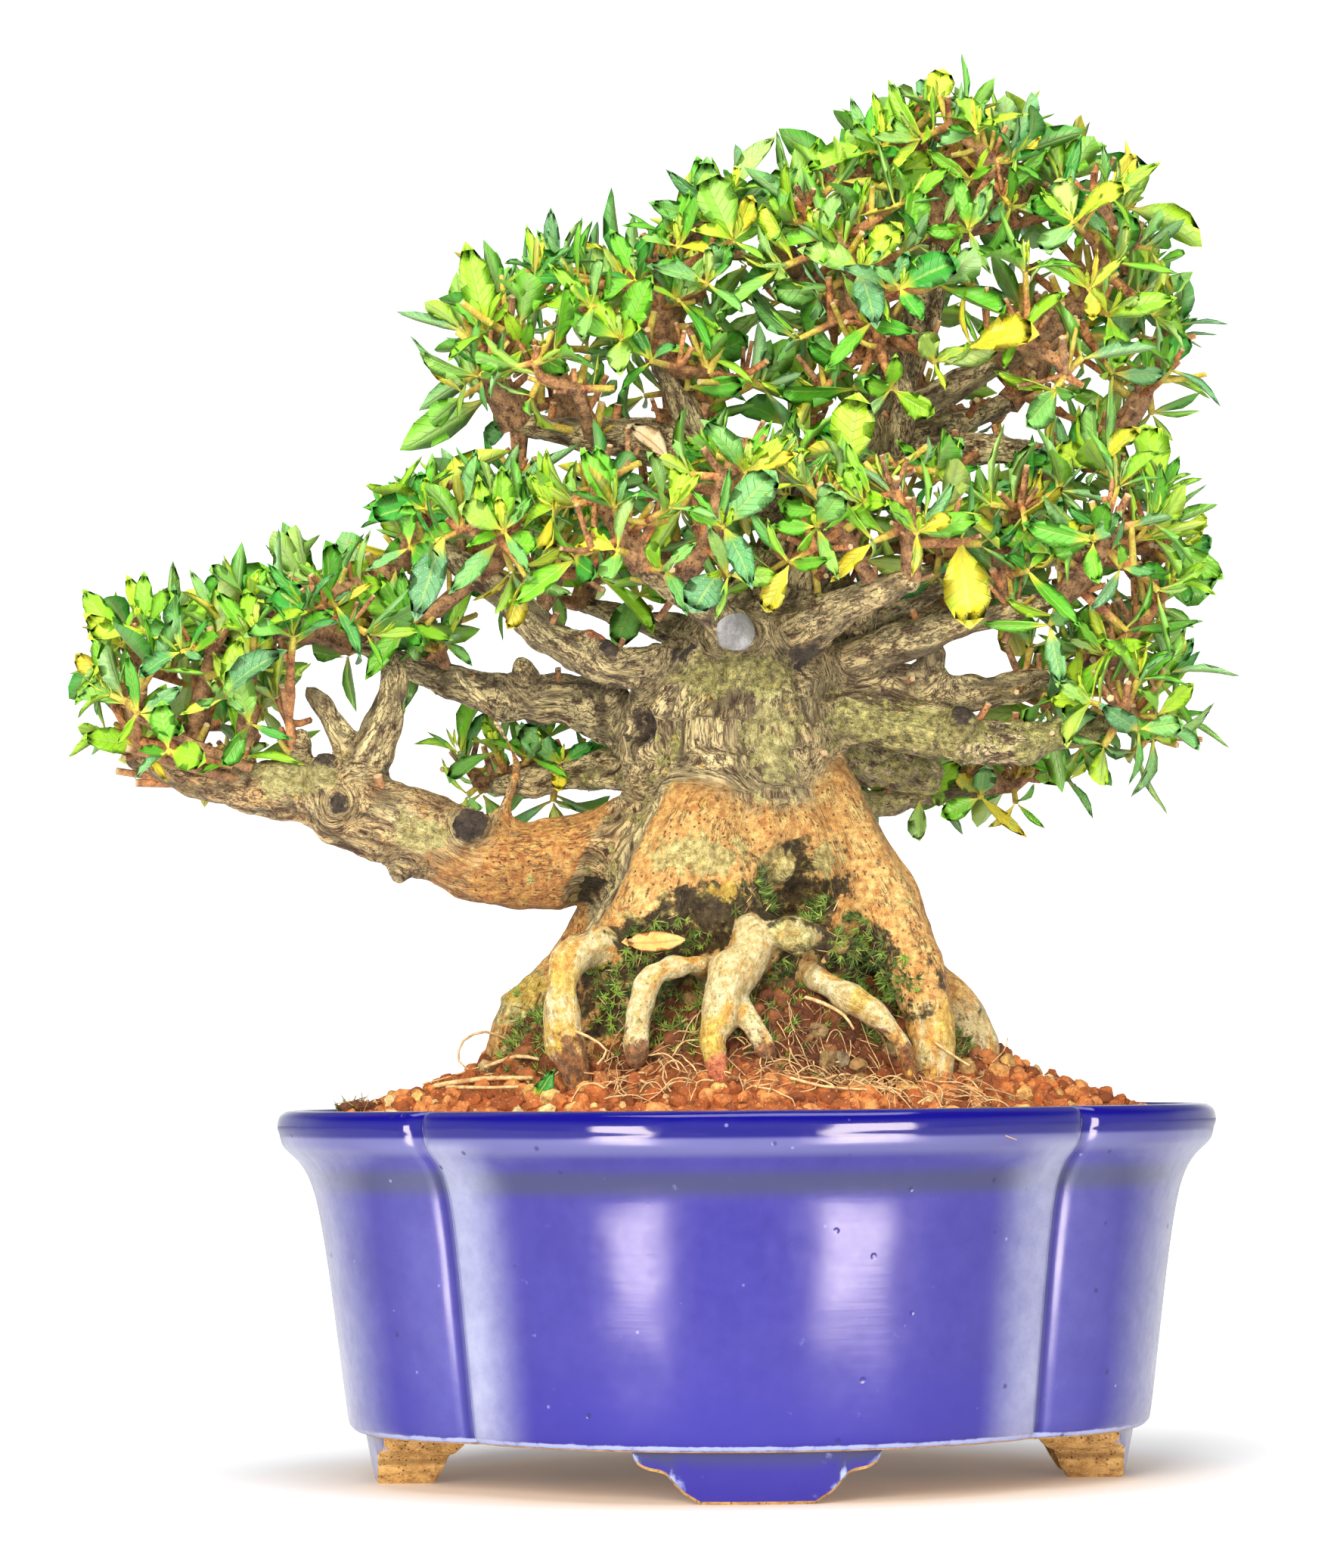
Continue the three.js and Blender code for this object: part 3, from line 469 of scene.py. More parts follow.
def add_light(name, place, target, size, watts, colour=(1, 1, 1), diffuse=True, glossy=True):
    """A soft box that shines from its place to its target, both in metres."""
    data = bpy.data.lights.new(name, "AREA")
    data.shape = "RECTANGLE"
    data.size, data.size_y = size
    data.energy = watts
    data.color = colour
    light = bpy.data.objects.new(name, data)
    light.location = place
    light.rotation_euler = (Vector(target) - Vector(place)).to_track_quat("-Z", "Y").to_euler()
    light.visible_camera = False
    light.visible_diffuse = diffuse
    light.visible_glossy = glossy
    link(light)


def add_world():
    """White all round, and dim overhead where the glaze mirrors it."""
    world = bpy.data.worlds.new("studio")
    world.use_nodes = True
    bpy.context.scene.world = world
    world.node_tree.nodes.clear()
    sky = Nodes(world.node_tree)
    height = sky.parts(sky.node("TexCoord").outputs["Generated"])["Z"]
    mirrored = sky.ease(height, 0.12, 0.5, 0.95, 0.12)
    rays = sky.node("LightPath").outputs
    strength = sky.scaled(rays["Is Camera Ray"], 0.9, 0.4)
    both = sky.node("Mix", {0: rays["Is Glossy Ray"], 2: strength, 3: mirrored})
    shader = sky.node("Background", {"Strength": both, "Color": (1, 1, 1, 1)})
    sky.node("OutputWorld", {0: shader})


def add_floor():
    """A white table. Its near edge lies just below the picture, and the tall boxes stand beyond it."""
    top = Finish("pale_floor", (0.93, 0.92, 0.91), Roughness=0.75, Emission_Color=(1, 1, 1, 1))

    def length(scale, centre=0.0):
        inputs = {"Vector": top.place, "Location": (centre, 0, 0), "Scale": scale}
        flat = top.node("Mapping", inputs)
        return top.node("VectorMath", {0: flat}, operation="LENGTH").outputs["Value"]

    top.ground(260.0, 0.5, (0.93, 0.915, 0.9), (0.95, 0.95, 0.95))
    wide, deep = SHADE_REACH
    reach = length((1 / wide, 1 / deep, 0), -POT_X / wide)
    # Painted warm shadow: a tan tint on the floor round the pot.
    top.coat(top.ease(reach, 1.35, 0.8), (0.74, 0.62, 0.5))
    far_glow = top.ease(length((0.6, 1, 0)), 150.0, 1200.0, *FLOOR_GLOW)
    glow = top.times(far_glow, top.ease(reach, 0.9, 2.4, 0.15, 1.0))
    seen = top.times(glow, top.node("LightPath").outputs["Is Camera Ray"])
    top.link(top.maths("MAXIMUM", seen, FLOOR_BOUNCE), "Emission Strength")
    top.link(top.colour, "Base Color")
    far, near = TABLE_REACH, -TABLE_EDGE
    corners = [(-far, near, 0), (far, near, 0), (far, far, 0), (-far, far, 0)]
    mesh_object("floor", corners, [(0, 1, 2, 3)], [top.material])


def light_the_studio():
    scene = bpy.context.scene
    scene.view_settings.view_transform = "Standard"
    scene.view_settings.look = "None"
    scene.view_settings.exposure = 0.0
    add_world()
    aim = (0.02, 0, 0.06)
    warm = (1, 0.86, 0.74)
    add_light("top_box", (0.1, -0.35, 1.4), (0.02, 0, 0.15), (1.2, 0.8), 14)
    add_light("front_box", (-0.55, -1.5, 0.75), (0, 0, 0.18), (0.9, 0.9), 34, glossy=False)
    add_light("low_box", (0.3, -1.3, 0.1), (0, 0, 0.1), (0.9, 0.5), 8, glossy=False)
    add_light("left_streak", (-0.7, -1.06, -0.55), aim, (0.42, 1.8), 49, warm, diffuse=False)
    add_light("right_streak", (0.66, -1.06, -0.34), aim, (0.5, 1.35), 43, warm, diffuse=False)


add_camera()
light_the_studio()
add_floor()


# Pot

# Half the pot's width and depth, and where the right back groove is.
POT_HALF = np.array([105.0, 82.0])
GROOVE = POT_HALF * (0.683, 0.6)
FOOT_HEIGHT = 11
# How long a foot at the pot's end is, as a share of one at the front.
END_FOOT_SHARE = 0.78
FOOT_TOP = 13.4
FLOOR_TOP = 17
GROOVE_DEPTH = 1.7
GROOVE_WIDTH = 1.3
DRAIN_X = 38
DRAIN_RADIUS = 9
DRAIN_SIDES = 48
# Each [share of the plan, z], from the foot of the outside over the lip and down the inside.
POT_OUTSIDE = [
    [0.8, 10.9], [0.828, 11.1], [0.845, 12.2], [0.8535, 15], [0.872, 30], [0.893, 47], [0.908, 57],
    [0.9175, 62], [0.9255, 65], [0.938, 68.2], [0.955, 70.9], [0.975, 72.9], [0.988, 74.4], [0.9935, 76.0],
    [0.9955, 77.0], [0.9995, 78.3], [0.9995, 79.6], [0.9945, 81.1], [0.981, 82.1],
]
POT_INSIDE = [
    [0.965, 82.3], [0.951, 81.8], [0.942, 80.4], [0.936, 78], [0.91, 72], [0.868, 60], [0.79, FLOOR_TOP],
]
# Half of a bracket foot's elevation: [distance from its middle, z].
FOOT_EDGE = [
    [12, 0], [13.4, 0.9], [15.6, 2.3], [17.6, 4.4], [19, 6], [20.6, 6.7], [23.2, 7.2], [25.2, 8.4],
    [26.2, 10.4], [26.5, 13],
]


def lobe_arc(start, middle, end, steps):
    """Points on the arc from start to end that bulges through the middle point, closer near its ends."""
    chord = np.subtract(end, start)
    half = norm(chord) / 2
    mean = np.add(start, end) / 2
    rise = norm(np.subtract(middle, mean))
    radius = (half**2 + rise**2) / (2 * rise)
    centre = middle + unit(mean - middle) * radius
    first = atan2(*(np.subtract(start, centre)[::-1]))
    sweep = 2 * asin(half / radius)
    share = np.arange(steps) / steps
    share = lerp(share, (1 - np.cos(pi * share)) / 2, 0.6)
    angles = first + sweep * share
    return centre + radius * np.stack([np.cos(angles), np.sin(angles)], 1)


def pot_plan(long_steps, end_steps, groove_depth):
    """The pot's plan: four lobes whose edges turn in to a groove where two of them meet."""
    turns = [(1, -1), (1, 1), (-1, 1), (-1, -1), (1, -1)]
    ways = [(1, 0), (0, 1), (-1, 0), (0, -1)]
    lobes = [
        (GROOVE * turns[i], POT_HALF * way, GROOVE * turns[i + 1], long_steps if i % 2 else end_steps)
        for i, way in enumerate(ways)
    ]
    plan = np.vstack([lobe_arc(*lobe) for lobe in lobes])
    corners = np.array([lobe[0] for lobe in lobes])
    gap = norm(plan[:, None] - corners[None], axis=2).min(1)
    inward = -plan / norm(plan, axis=1)[:, None]
    return plan + inward * (groove_depth * np.exp(-gap / GROOVE_WIDTH))[:, None]


def raised(plan, share, z):
    return np.column_stack([plan * share, np.full(len(plan), z)])


def foot_mesh(spread, middle, arc_centre, arc_radius):
    """A bracket foot under the lobe that bulges towards `middle`."""
    across = np.array([-middle[1], middle[0]])
    elevation = curve_through(FOOT_EDGE, 3)
    half = [(x * spread, min(z, 12.4)) for x, z in elevation]
    flat = [(x * spread, 0) for x in (0, 4, 8)]
    line = [(-x, z) for x, z in reversed(half)] + [(-x, z) for x, z in reversed(flat)]
    line += flat[1:] + half
    rings = []
    for x, z in line:
        heights = [z, z + 0.7, lerp(z, FOOT_TOP, 0.5), FOOT_TOP]
        section = []
        for inside in (False, True):
            rows = []
            for level, height in enumerate(heights):
                up = height / FOOT_TOP
                share = lerp(0.675, 0.65, up) if inside else lerp(0.795, 0.82, up)
                reach = arc_centre * share + sqrt((arc_radius * share)**2 - x * x)
                inset = 0.7 if level == 0 else 0
                reach += inset if inside else -inset
                rows.append((*(middle * reach + across * x), height))
            section += rows[::-1] if inside else rows
        rings.append(section)
    points, faces = loft(rings)
    count = len(rings[0])
    faces.append(tuple(range(count))[::-1])
    faces.append(tuple(range((len(rings) - 1) * count, len(rings) * count)))
    return turned_object("foot", points, faces)


def drain_rod(x):
    """A round rod through the pot's floor, which cuts a drain hole."""
    start, end = np.array([x, 0, 5.0]), np.array([x, 0, 25.0])
    axis = unit(end - start)
    side = unit(np.cross(axis, ANY_SIDE))
    other = np.cross(axis, side)
    turn = 2 * pi * np.arange(DRAIN_SIDES) / DRAIN_SIDES
    circle = DRAIN_RADIUS * (np.cos(turn)[:, None] * side + np.sin(turn)[:, None] * other)
    return turned_object("drain", *loft([start + circle, end + circle], start, end))


def glaze_material():
    glaze = Finish("cobalt_glaze", (0.05, 0.04, 0.3), Roughness=0.08, IOR=1.5)
    coat, times, scaled, read = glaze.coat, glaze.times, glaze.scaled, glaze.read
    fine = glaze.clouds(2.4, 1.8)
    tone = scaled(fine, 0.3, times(glaze.clouds(26, 2), 0.7))
    glaze.colour = glaze.mix(tone, (0.02, 0.014, 0.2), (0.046, 0.036, 0.275))
    coat(glaze.ease(glaze.parts(glaze.place)["Z"], 36, 16), (0.017, 0.011, 0.25), 0.7)
    # Painted shade: a dark grey-blue band in the neck's hollow under the lip, and on the tops of the feet
    # under the body's overhang.
    coat(read("neck"), (0.035, 0.038, 0.1))
    coat(read("under_lip"), (0.12, 0.115, 0.3))
    coat(read("deep"), (0.004, 0.002, 0.16))
    # Painted reflection: the glaze is paled where it turns away from the eye and on the shoulders beside the
    # grooves, for the white room mirrored there.
    facing = glaze.node("LayerWeight", {"Blend": 0.5}).outputs["Facing"]
    turned = times(glaze.ease(facing, 0.3, 0.9), scaled(read("deep"), -0.85, 1))
    painted_glancing_reflection = times(glaze.maths("MAXIMUM", turned, read("shoulder")), scaled(tone, 0.9, 0.4), clamp=True)
    coat(painted_glancing_reflection, (0.36, 0.37, 0.52))
    coat(read("crease"), (0.01, 0.01, 0.07))
    coat(glaze.ragged("thin", 4, 1.5, 0.25), (0.36, 0.42, 0.72))
    pin = glaze.specks(2.6, 0.02)
    coat(pin, (0.012, 0.01, 0.1), 0.7)
    coat(glaze.specks(1.7, 0.004), (0.4, 0.42, 0.7), 0.4)
    rows = glaze.grain(1, 2, 0.5, glaze.object_mm((0.06, 0.06, 0.8)))
    height = scaled(rows, 0.035, times(glaze.grain(0.05, 1, 0.4), 1.5))
    glaze.link(scaled(read("deep"), -0.11, scaled(fine, 0.12, 0.15)), "Roughness")
    return glaze.done(scaled(pin, -0.2, height), 1, 0.35)


def bare_clay_material():
    clay = Finish("bare_clay", (0.6, 0.34, 0.14), Roughness=0.85)
    clay.ground(3, 3, (0.36, 0.17, 0.04), (0.92, 0.58, 0.2))
    clay.coat(clay.specks(1.1, 0.35), (0.82, 0.64, 0.36), 0.8)
    from_waist = clay.maths("ABSOLUTE", clay.maths("SUBTRACT", clay.parts(clay.place)["Z"], 5.2))
    clay.coat(clay.ease(from_waist, 1.1, 0.2), (0.24, 0.12, 0.035), 0.6)
    pits = clay.specks(0.8, 0.4)
    clay.coat(pits, (0.09, 0.04, 0.012))
    return clay.done(clay.maths("SUBTRACT", clay.grain(1.6, 5), pits), 0.7, 0.9)


def make_pot():
    plan = pot_plan(150, 84, GROOVE_DEPTH)
    profile = curve_through(POT_OUTSIDE, 3)
    rings = [raised(plan, share, z) for share, z in profile]
    rings += [raised(plan, share, z) for share, z in curve_through(POT_INSIDE, 2)]
    body = turned_object("pot_body", *loft(rings, (0, 0, POT_OUTSIDE[0][1]), (0, 0, FLOOR_TOP)))
    axis_x, axis_y = np.array([1.0, 0]), np.array([0, 1.0])

    def arc(k):
        rise = POT_HALF[k] - GROOVE[k]
        radius = (GROOVE[1 - k]**2 + rise**2) / (2 * rise)
        return POT_HALF[k] - radius, radius

    feet = [foot_mesh(1, way, *arc(1)) for way in (-axis_y, axis_y)]
    feet += [foot_mesh(END_FOOT_SHARE, way, *arc(0)) for way in (axis_x, -axis_x)]
    drains = [drain_rod(x) for x in (-DRAIN_X, DRAIN_X)]
    for tool, operation in [(f, "UNION") for f in feet] + [(d, "DIFFERENCE") for d in drains]:
        body = modified(body, "BOOLEAN", object=tool, operation=operation, solver="MANIFOLD")
    drop(*feet, *drains)
    body.name = body.data.name = "lobed_pot"
    mesh = body.data
    paint(mesh, glaze_material(), bare_clay_material())
    points = millimetres(mesh)
    height = points[:, 2]
    low_edge = smooth(0.9, 0.2, np.abs(height - 11.9)) * (height > 11)
    across, deep_in = np.abs(points[:, :2]).T
    front = deep_in / POT_HALF[1] > across / POT_HALF[0]
    reach = np.interp(height, [row[1] for row in FOOT_EDGE], [row[0] for row in FOOT_EDGE])
    inset = np.where(front, reach - across, END_FOOT_SHARE * reach - deep_in)
    foot_edge = 0.6 * smooth(1.6, 0.2, inset) + 0.42 * smooth(1.3, 0.2, np.abs(height - 5.6))
    foot_edge *= height < 10.5
    corners = np.array([GROOVE * (x, y) for x in (-1, 1) for y in (-1, 1)])
    share = np.interp(height, [row[1] for row in POT_OUTSIDE], [row[0] for row in POT_OUTSIDE])
    flat = points[:, :2] / share[:, None]
    nearest = norm(flat[:, None] - corners[None], axis=2)
    gap = nearest.min(1)
    own = corners[nearest.argmin(1)]
    long_side = smooth(3, 0, np.abs(flat[:, 0]) - np.abs(own[:, 0]))
    # Painted reflection on the shoulders beside each groove, stronger on the long sides.
    shoulder = smooth(24, 5, gap) * smooth(0.8, 3.2, gap) * lerp(0.1, 0.85, long_side) * (height > 11)
    deep = smooth(76.2, 77.2, height)
    # Painted shade in the hollow of the neck, below the lip.
    neck = 0.85 * smooth(63.2, 66.4, height) * smooth(71.2, 68, height)
    # Painted shadow on the tops of the feet, under the body's overhanging edge.
    painted_foot_shade = 0.9 * smooth(7.6, 9.8, height) * (height < 11)
    masks = {
        "thin": np.clip(0.75 * low_edge + foot_edge, 0, 1),
        "deep": deep, "neck": np.maximum(neck, painted_foot_shade),
        "under_lip": 0.9 * smooth(72, 74, height) * (1 - deep),
        "crease": 0.9 * smooth(1.5, 0.1, gap) * (height > 11) * smooth(72, 66, height),
        "shoulder": shoulder * smooth(77, 74, height),
    }
    set_values(mesh, **masks)
    for face in mesh.polygons:
        x, y, z = np.array(face.center) / MM - (POT_X, 0, 0)
        outward = unit(np.array([x, y])) @ np.array(face.normal[:2])
        under = z < FOOT_HEIGHT + 0.2 and face.normal.z < -0.55
        foot_side = z < FOOT_HEIGHT + 0.5 and outward < 0.6
        hollow = z < 72 and outward < -0.3
        face.material_index = 1 if under or foot_side or hollow or (z < 20 and outward < 0.3) else 0
    shade(body, 38)
    finish_piece(body, "glazed_clay", "pot")


make_pot()


# Repeats: each tree copies or sweeps a shape, and ends as one plain mesh

class Repeats(Group):
    """A geometry node tree with a Geometry input and output, a Material input and more named inputs."""

    FAMILY = "GeometryNode"

    def __init__(self, name, inputs):
        inputs = {"Geometry": "Geometry", **inputs, "Material": "Material"}
        super().__init__(name, "GeometryNodeTree", inputs, {"Geometry": "Geometry"})

    def named(self, name, kind="FLOAT"):
        return self.node("InputNamedAttribute", {"Name": name}, data_type=kind)

    def shapes(self):
        inputs = {"Collection": self.given["Shapes"], "Separate Children": True, "Reset Children": True}
        return self.node("CollectionInfo", inputs)

    def end(self, geometry, smooth_faces=True):
        solid = self.node("RealizeInstances", {"Geometry": geometry})
        inputs = {"Geometry": solid, "Shade Smooth": smooth_faces}
        shaded = self.node("SetShadeSmooth", inputs)
        inputs = {"Geometry": shaded, "Material": self.given["Material"]}
        return super().end(self.node("SetMaterial", inputs))


def tubes_tree():
    """Sweeps a ring along each line of edges. The lines carry their radius."""
    tubes = Repeats("tubes_along_lines", {"Sides": 5})
    curve = tubes.node("MeshToCurve", {"Mesh": tubes.given["Geometry"]})
    ring = tubes.node("CurvePrimitiveCircle", {"Resolution": tubes.given["Sides"], "Radius": 1.0})
    inputs = {"Curve": curve, "Profile Curve": ring, "Scale": tubes.named("radius"), "Fill Caps": True}
    return tubes.end(tubes.node("CurveToMesh", inputs))


def copies_tree():
    """Puts one of the shapes at each point, with the point's own kind, turn and size."""
    copies = Repeats("copies_at_points", {"Shapes": "Collection"})
    turn = copies.node("FunctionNodeEulerToRotation", {"Euler": copies.named("turn", "FLOAT_VECTOR")})
    return copies.end(copies.node("InstanceOnPoints", {
        "Points": copies.given["Geometry"], "Instance": copies.shapes(), "Pick Instance": True,
        "Instance Index": copies.named("kind", "INT"), "Rotation": turn,
        "Scale": copies.named("size", "FLOAT_VECTOR"),
    }))


def scatter_tree():
    """Strews turned and scaled copies of the shapes over a surface, as thick as its own share says."""
    strewn_copies = Repeats("strewn_on_surface", {
        "Shapes": "Collection", "Kinds": 1, "Spacing": 0.003,
        "Density": 1000.0, "Smallest": 0.001, "Largest": 0.002,
        "Lean": 3.2, "Seed": 1,
    })
    node, maths, given = strewn_copies.node, strewn_copies.maths, strewn_copies.given
    points = node("DistributePointsOnFaces", {
        "Mesh": given["Geometry"], "Distance Min": given["Spacing"], "Density Max": given["Density"],
        "Density Factor": strewn_copies.named("share"), "Seed": given["Seed"],
    }, distribute_method="POISSON").outputs

    def drawn(kind, low, high, offset):
        first = ("FLOAT_VECTOR", "FLOAT", "INT").index(kind)
        inputs = {2 * first: low, 2 * first + 1: high, "Seed": maths("ADD", given["Seed"], offset)}
        return node("FunctionNodeRandomValue", inputs, data_type=kind).outputs[first]

    lean = node("ShaderNodeCombineXYZ", {0: given["Lean"], 1: given["Lean"], 2: 6.3})
    back = node("ShaderNodeVectorMath", {0: lean, 1: (-1, -1, 0)}, operation="MULTIPLY")
    turn = node("FunctionNodeEulerToRotation", {"Euler": drawn("FLOAT_VECTOR", back, lean, 1)})
    inputs = {"Rotation": points["Rotation"], "Rotate By": turn}
    standing = node("FunctionNodeRotateRotation", inputs, rotation_space="LOCAL")
    copies = node("InstanceOnPoints", {
        "Points": points["Points"], "Instance": strewn_copies.shapes(), "Pick Instance": True,
        "Instance Index": drawn("INT", 0, maths("SUBTRACT", given["Kinds"], 1.0), 2), "Rotation": standing,
        "Scale": drawn("FLOAT", given["Smallest"], given["Largest"], 3),
    })
    inputs = {"Geometry": copies, "Name": "tone", "Value": drawn("FLOAT", 0.0, 1.0, 4)}
    toned = node("StoreNamedAttribute", inputs, data_type="FLOAT", domain="INSTANCE")
    return strewn_copies.end(toned, False)


TUBES = tubes_tree()
COPIES = copies_tree()
SCATTER = scatter_tree()


def grown(source, tree, name, **inputs):
    """The source object with a node tree applied, as a plain mesh. The source goes."""
    modifier = source.modifiers.new(tree.name, "NODES")
    modifier.node_group = tree
    for key, value in inputs.items():
        modifier[tree.interface.items_tree[key.replace("_", " ")].identifier] = value
    return plain_mesh(source, name)


def shape_collection(name, shapes):
    """The shapes in a collection of their own, unlinked from the scene, in the order given."""
    found = bpy.data.collections.new(name)
    for i, (points, faces) in enumerate(shapes):
        mesh = bpy.data.meshes.new(f"{name}_{i:02d}")
        mesh.from_pydata([tuple(p) for p in points], [], faces)
        made = bpy.data.objects.new(mesh.name, mesh)
        found.objects.link(made)
    return found


def drop_collection(collection):
    drop(*collection.objects)
    bpy.data.collections.remove(collection)


def strewn(bed, share, shapes, name, material, spacing, density, sizes, lean, seed):
    """A piece of shapes strewn over a copy of the bed, as thick as the share at its vertices."""
    copy = bed.copy()
    copy.data = bed.data.copy()
    link(copy)
    set_values(copy.data, share=share)
    kinds = shape_collection(name + "_kind", shapes)
    made = grown(
        copy, SCATTER, name, Shapes=kinds, Kinds=len(shapes), Spacing=spacing, Density=density,
        Smallest=sizes[0], Largest=sizes[1], Lean=lean, Seed=seed, Material=material,
    )
    drop_collection(kinds)
    finish_piece(made, STREWN_SLOTS[material.name])


def lines_object(name, lines, **values):
    """Open lines of [x, y, z, radius] as edges, with their radius and each line's other values."""
    points = np.vstack([line[:, :3] for line in lines])
    radii = np.concatenate([line[:, 3] for line in lines]) * MM
    edges = []
    start = 0
    for line in lines:
        edges += [(start + i, start + i + 1) for i in range(len(line) - 1)]
        start += len(line)
    made = mesh_object(name, points, [], edges=edges)
    set_values(made.data, radius=radii, **{key: np.concatenate(rows) for key, rows in values.items()})
    return made


# Soil

SOIL_EDGE_HEIGHT = 79
SOIL_SLOPE = 34
ROOT_MOUND_HEIGHT = 16
SOIL_WALL_SHARE = 0.908
SOIL_PLAN = pot_plan(60, 34, 0)
# The soil's side against the wall, each [share of the plan, z], from the floor up.
SOIL_SIDE = ((0.79, 17.4), (0.868, 60), (0.908, 76))
# Coarse grains have rounder shapes: name, whether coarse, seed, spacing, density, smallest and largest.
GRAIN_KINDS = [
    ("soil_coarse_grains", True, 5, 0.0033, 90000.0, 0.0015, 0.0028),
    ("soil_fine_grains", False, 9, 0.0021, 180000.0, 0.0006, 0.0013),
]
GRAIN_LEAN = 3.2
# Each strewn material's slot.
STREWN_SLOTS = {"fired_clay_grains": "akadama_soil", "moss": "foliage", "root_litter": "bark"}


def soil_height(share):
    slope = SOIL_SLOPE * (1 - np.maximum(share, 0.5))
    return SOIL_EDGE_HEIGHT + slope + ROOT_MOUND_HEIGHT * (1 - smooth(0.3, 0.68, share))


def soil_dip(x, y):
    """How much lower the soil lies in front of the slanting root."""
    return 6 * np.exp(-((x - 21) / 13)**2 - ((y + 41) / 8)**2)


def plan_share(points):
    """How far points lie from the middle towards the pot's wall: 1 at the soil's edge."""
    angles = np.arctan2(SOIL_PLAN[:, 1], SOIL_PLAN[:, 0])
    order = np.argsort(angles)
    reach = norm(SOIL_PLAN, axis=1)[order] * SOIL_WALL_SHARE
    way = np.arctan2(points[:, 1], points[:, 0])
    return norm(points[:, :2], axis=1) / np.interp(way, angles[order], reach, period=2 * pi)


def soil_material():
    soil = Finish("fired_clay_grains", (0.3, 0.12, 0.05), Roughness=0.9)
    soil.colour = soil.ramp(soil.read("tone"), [
        (0, (0.22, 0.052, 0.012)), (0.35, (0.54, 0.135, 0.028)), (0.62, (0.84, 0.27, 0.065)),
        (0.85, (0.98, 0.39, 0.11)), (0.93, (1, 0.6, 0.17)), (1, (1, 0.8, 0.38)),
    ])
    soil.coat(soil.clouds(2.2, 3.4), (0.13, 0.04, 0.012), 0.8)
    soil.coat(soil.specks(0.7, 0.3), (0.85, 0.54, 0.27), 0.6)
    # Painted shade: the soil is darkened round the roots.
    soil.coat(soil.read("zone"), soil.mix(1, soil.colour, (0.24, 0.24, 0.3), "MULTIPLY"), 0.8)
    return soil.done(soil.grain(1.4, 5, 0.65), 0.6, 0.9)


def crumb_shapes(seed, count, finer):
    """Rough lumps of about unit radius."""
    shapes = []
    for k in range(count):
        lump = bpy.data.meshes.new("lump")
        made = bmesh.new()
        bmesh.ops.create_icosphere(made, subdivisions=2 if finer else 1, radius=1)
        made.to_mesh(lump)
        made.free()
        points = []
        for vertex in lump.vertices:
            p = vertex.co.normalized()
            swell = 1 + 0.35 * noise.noise(p * 1.1 + Vector((seed, k * 7.1, 3))) \
                + 0.2 * noise.noise(p * 2.6 + Vector((k * 3.3, seed, 9)))
            points.append((p.x * swell, p.y * swell * 0.86, p.z * swell * 0.78))
        shapes.append((points, [tuple(f.vertices) for f in lump.polygons]))
        bpy.data.meshes.remove(lump)
    return shapes


def root_zone(points):
    """1 round the roots, where litter lies and shade is painted darker on the soil, easing to 0 outside."""
    reach = norm((points[:, :2] - (-2, -9)) / (57, 39), axis=1)
    return smooth(1.12, 0.82, reach)


def make_soil():
    """The bed and its grains. Returns the points and faces of the bed's top."""
    rings = [raised(SOIL_PLAN, share * 0.995, z) for share, z in SOIL_SIDE]
    for share in np.linspace(1, 0.04, 40):
        ring = raised(SOIL_PLAN, SOIL_WALL_SHARE * share, 0)
        for p in ring:
            lump = noise.noise(Vector(p / 5.0)) + 0.6 * noise.noise(Vector(p / 2.1))
            p[2] = soil_height(share) - 1.0 + 0.9 * lump - soil_dip(p[0], p[1])
        rings.append(ring)
    material = soil_material()
    points, faces = loft(rings, (0, 0, SOIL_SIDE[0][1]), (0, 0, soil_height(0)))
    bed = turned_object("soil_bed", points, faces, [material])
    set_values(bed.data, tone=np.full(len(points), 0.3), zone=root_zone(points))
    shade(bed)
    bed_top = loft(rings[len(SOIL_SIDE):])
    top = turned_object("soil_top", *bed_top)
    place = millimetres(top.data)
    share, zone = plan_share(place), root_zone(place)
    set_values(top.data, zone=zone)
    thick = smooth(0.2, 0.42, share) * smooth(1.005, 0.985, share)
    for name, finer, seed, spacing, density, *sizes in GRAIN_KINDS:
        crumbs = crumb_shapes(1 if finer else 2, 6, finer)
        thin = 1 - 0.45 * zone if finer else 1
        strewn(top, thick * thin, crumbs, name, material, spacing, density, sizes, GRAIN_LEAN, seed)
    drop(top)
    finish_piece(bed, "akadama_soil", "soil")
    return bed_top


SOIL_TOP = make_soil()


# Wood: where the limbs run, as [x, y, z, radius] from the trunk outwards

